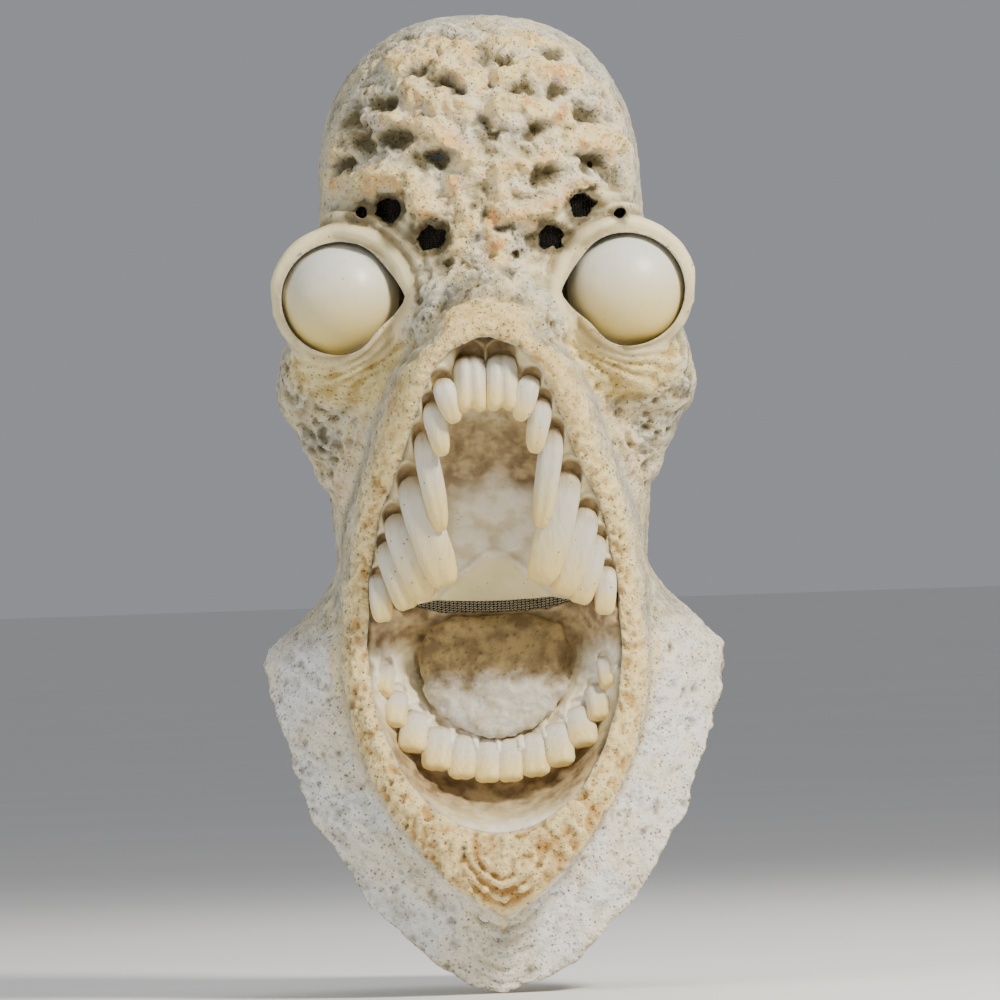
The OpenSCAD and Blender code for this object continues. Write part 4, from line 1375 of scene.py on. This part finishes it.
# %% Profiles and finish of the teeth
# Girth of a tooth from the root down
TAPERED = [(0, 0), (0.02, 0.42), (0.08, 0.76), (0.2, 0.95), (0.38, 1),
           (0.62, 0.93), (0.82, 0.78), (0.93, 0.56), (0.98, 0.32), (1, 0)]
FINGER = [(0, 0), (0.02, 0.45), (0.08, 0.78), (0.2, 0.93), (0.4, 1),
          (0.7, 0.98), (0.88, 0.88), (0.95, 0.7), (0.985, 0.42), (1, 0)]
BLUNT = [(0, 0), (0.02, 0.5), (0.08, 0.8), (0.25, 0.92), (0.6, 1),
         (0.85, 1), (0.94, 0.88), (0.98, 0.62), (1, 0)]


def tooth_finish():
    f = Finish("tooth_latex", Specular_IOR_Level=0.45, Coat_Weight=0.08, Coat_Roughness=0.35)
    along = f.mask("along")
    patch = f.noise(7 * MM, 3)
    streak = f.noise(2.2 * MM, 3, where=f.stretched((1, 1, 0.18)))
    base = f.mix(f.between(0.25, 0.95, along + (patch - 0.5) * 0.4), "D8D2C0", "EFD383")
    # Painted shade: the root end is painted darker where the tooth goes into its socket.
    base = f.mix(f.between(0.22, 0.0, along + (patch - 0.5) * 0.1) * 0.75, base, "A3894F")
    base = f.mix(f.between(0.5, 0.72, streak) * 0.4, base, "C2B38A")
    base = f.mix(f.between(0.10, 0.05, f.cells(8 * MM)) * 0.8, base, "7A6A4A")
    fine = f.raise_surface(streak, 0.6 * MM)
    normal = f.raise_surface(f.noise(1.2 * MM, 2), 0.06 * MM, fine)
    return f.done(Base_Color=base, Roughness=0.48 + (patch - 0.5) * 0.2, Normal=normal)


tooth_latex = tooth_finish()
print("tooth finish:", tooth_latex.name)


# %% Teeth
def make_tooth(node, frame_of, seed, profile, girth, lobed, lean):
    """One tooth along its axis. Lobed teeth are split down the front, and lean bows the tooth out."""
    t = frame_of
    bm = bmesh.new()
    bmesh.ops.create_uvsphere(bm, u_segments=32, v_segments=36, radius=1)
    along = []
    shares, girths = zip(*profile)
    for vertex in bm.verts:
        down = math.acos(max(-1, min(1, vertex.co.z)))
        share = (1 - math.cos(down)) / 2
        around = math.atan2(vertex.co.y, vertex.co.x)
        wide = float(np.interp(share, shares, girths))
        split = lobed * math.exp(-(math.cos(around) / 0.25) ** 2)
        facets = 0.035 * math.cos(6 * around + seed)
        facets += 0.09 * noise.noise(Vector((share * 2.5, seed, around)))
        reach = wide * (1 - 0.3 * split + facets)
        across = reach * math.cos(around)
        notch = 0.09 * lobed * math.exp(-(across / 0.3) ** 2) * max(0, share - 0.75) * 4
        bow = t["facing"] * lean * MM * (4 * share * (1 - share))
        spine = t["root"] + (t["tip"] - t["root"]) * (share - notch) + bow
        vertex.co = Vector(spine + t["side"] * t["half"] * girth * across
                           + t["facing"] * t["deep"] * reach * math.sin(around))
        along.append(share)
    bmesh.ops.recalc_face_normals(bm, faces=bm.faces)
    tooth = new_piece(bm, node + "_cast")
    keep_mask(tooth.data, "along", along)
    return tooth


for seed, (node, place) in enumerate(teeth.items()):
    if node.startswith("lower"):
        tooth = make_tooth(node, place, seed, BLUNT, 1.46, 0.2, 1.0)
    elif "incisor" in node:
        tooth = make_tooth(node, place, seed, BLUNT, 1.12, 1, 1.6)
    elif "molar" in node:
        tooth = make_tooth(node, place, seed, FINGER, 1.5, 0.2, 2.2)
    else:
        tooth = make_tooth(node, place, seed, TAPERED, 1.15, 0.2, 1.8)
    dress(tooth, tooth_latex, "tooth_latex", node)
print("teeth made", len(teeth))

# %% [markdown]
# ## Tongue
# The tongue is a soft pad that hangs over the lower gum and flexes at its root. The CAD
# solid is copied, remeshed finely and pressed: a crease across it, a lumpy tip and many
# small pits.

# %% Tongue
def copy_of(node, name, voxel, rounds):
    """A smooth remeshed copy of a CAD solid."""
    bm = bmesh.new()
    bm.from_mesh(nodes[node].data)
    bmesh.ops.remove_doubles(bm, verts=bm.verts, dist=0.01 * MM)
    piece = new_piece(bm, name)
    modify(piece, "REMESH", mode="VOXEL", voxel_size=voxel)
    return modify(piece, "SMOOTH", factor=0.5, iterations=rounds)


def make_tongue():
    tongue = copy_of("tongue", "soft_tongue_cast", 1.3 * MM, 12)
    points, normals = points_of(tongue.data), normals_of(tongue.data)
    low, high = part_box("tongue")
    down = (high.z - points[:, 2]) / (high.z - low.z)
    broad, craggy = lumps(points, 17 * MM, 2), crags(points, 10 * MM)
    pits = ease(0.3, 0.1, cell_distance(points, 3.8 * MM))
    crease = bump(down - 0.52 - 0.05 * broad, 0.05)
    tip = ease(0.42, 0.66, down + 0.06 * craggy + 0.05 * broad)
    furrow = bump(points[:, 0] - 2 * MM * broad, 3 * MM) * ease(0.05, 0.2, down) * (1 - tip)
    height = (1.2 * broad - 1.8 * crease - 0.5 * furrow + tip * (1.6 * craggy + 0.6) - 0.5 * pits) * MM
    keep_mask(tongue.data, "tip", tip)
    # The pits and the crease are stored for painted shade.
    keep_mask(tongue.data, "pit", np.clip(pits + crease * 0.5, 0, 1))
    set_points(tongue.data, points + normals * height[:, None])
    return tongue


def tongue_finish():
    f = Finish("tongue_latex", Specular_IOR_Level=0.4)
    tip, pit = f.mask("tip"), f.mask("pit")
    patch, grit = f.noise(10 * MM, 4), f.noise(1.4 * MM, 3)
    # Painted shade and light: the back of the tongue under the palate is painted dark as shade, and the lit
    # tip pale.
    back = f.mix(f.between(0.35, 0.65, patch), "6B5632", "98804E")
    front = f.mix(f.between(0.35, 0.65, patch), "C2B596", "D8D2C4")
    base = f.mix(tip * f.between(0.3, 0.7, patch + tip * 0.3) * 0.85, back, front)
    # Painted shade in the pits and the crease.
    base = f.mix(pit * (1 - tip * 0.6) * 0.75, base, "3C311F")
    base = f.mix(f.between(0.2, 0.1, f.cells(2.4 * MM)) * 0.5 * (1 - tip * 0.5), base, "4A3C26")
    fine = f.raise_surface(grit, 0.3 * MM)
    normal = f.raise_surface(f.noise(3.5 * MM, 3), 0.6 * MM, fine)
    return f.done(Base_Color=base, Roughness=0.66 + (patch - 0.5) * 0.2, Normal=normal)


tongue = dress(make_tongue(), tongue_finish(), "tongue_latex", "tongue", body="soft_tongue")
print("tongue triangles", triangles_of(tongue))

# %% [markdown]
# ## Black mesh
# Fine black net is glued behind the brow holes and the breathing slot, so that the
# wearer sees and breathes but can't be seen. The front of each CAD patch is kept,
# subdivided, and Wireframe turns its edges into threads.

# %% Net patches
def net_finish():
    f = Finish("black_mesh", Roughness=0.85, Specular_IOR_Level=0.2)
    twist = f.noise(0.8 * MM, 2)
    base = f.mix(f.between(0.4, 0.7, twist), "0D0D0E", "1B1A1A")
    return f.done(Base_Color=base, Normal=f.raise_surface(twist, 0.1 * MM))


def make_net(node, finish, cuts):
    bm = bmesh.new()
    bm.from_mesh(nodes[node].data)
    bmesh.ops.remove_doubles(bm, verts=bm.verts, dist=0.01 * MM)
    bm.normal_update()
    away = [f for f in bm.faces if f.normal.y > -0.35]
    bmesh.ops.delete(bm, geom=away, context="FACES")
    bmesh.ops.subdivide_edges(bm, edges=bm.edges, cuts=cuts, use_grid_fill=True)
    net = new_piece(bm, node + "_net")
    modify(net, "WIREFRAME", thickness=0.7 * MM, use_even_offset=False)
    return dress(net, finish, "black_mesh", node)


black_net = net_finish()
for node, cuts in (("left_vision_mesh", 5), ("right_vision_mesh", 5), ("throat_mesh", 3)):
    print(node, triangles_of(make_net(node, black_net, cuts)))

# %% [markdown]
# ## Foam pads
# Five foam pads keep the mask off the wearer's head. They are cut from open-cell foam,
# so their edges are soft and their faces are full of small cells. Each is a remeshed,
# smoothed copy of its CAD solid, with small lumps over its faces.

# %% Pads
def foam_finish():
    f = Finish("foam", Roughness=0.92, Specular_IOR_Level=0.2)
    cells = f.cells(1.6 * MM)
    base = f.mix(f.between(0.05, 0.4, cells), "1F1F21", "4A4A4D")
    base = f.mix(f.noise(14 * MM) * 0.3, base, "5A5954")
    return f.done(Base_Color=base, Normal=f.raise_surface(f.between(0.0, 0.45, cells), 0.5 * MM))


def make_pad(node, finish):
    pad = copy_of(node, node + "_foam", 2.2 * MM, 5)
    points, normals = points_of(pad.data), normals_of(pad.data)
    set_points(pad.data, points + normals * (0.25 * MM * lumps(points, 12 * MM, 2))[:, None])
    dress(pad, finish, "foam", node)
    return pad


foam = foam_finish()
for node in ("crown_pad", "brow_pad", "nape_pad", "left_temple_pad", "right_temple_pad"):
    print(node, triangles_of(make_pad(node, foam)))
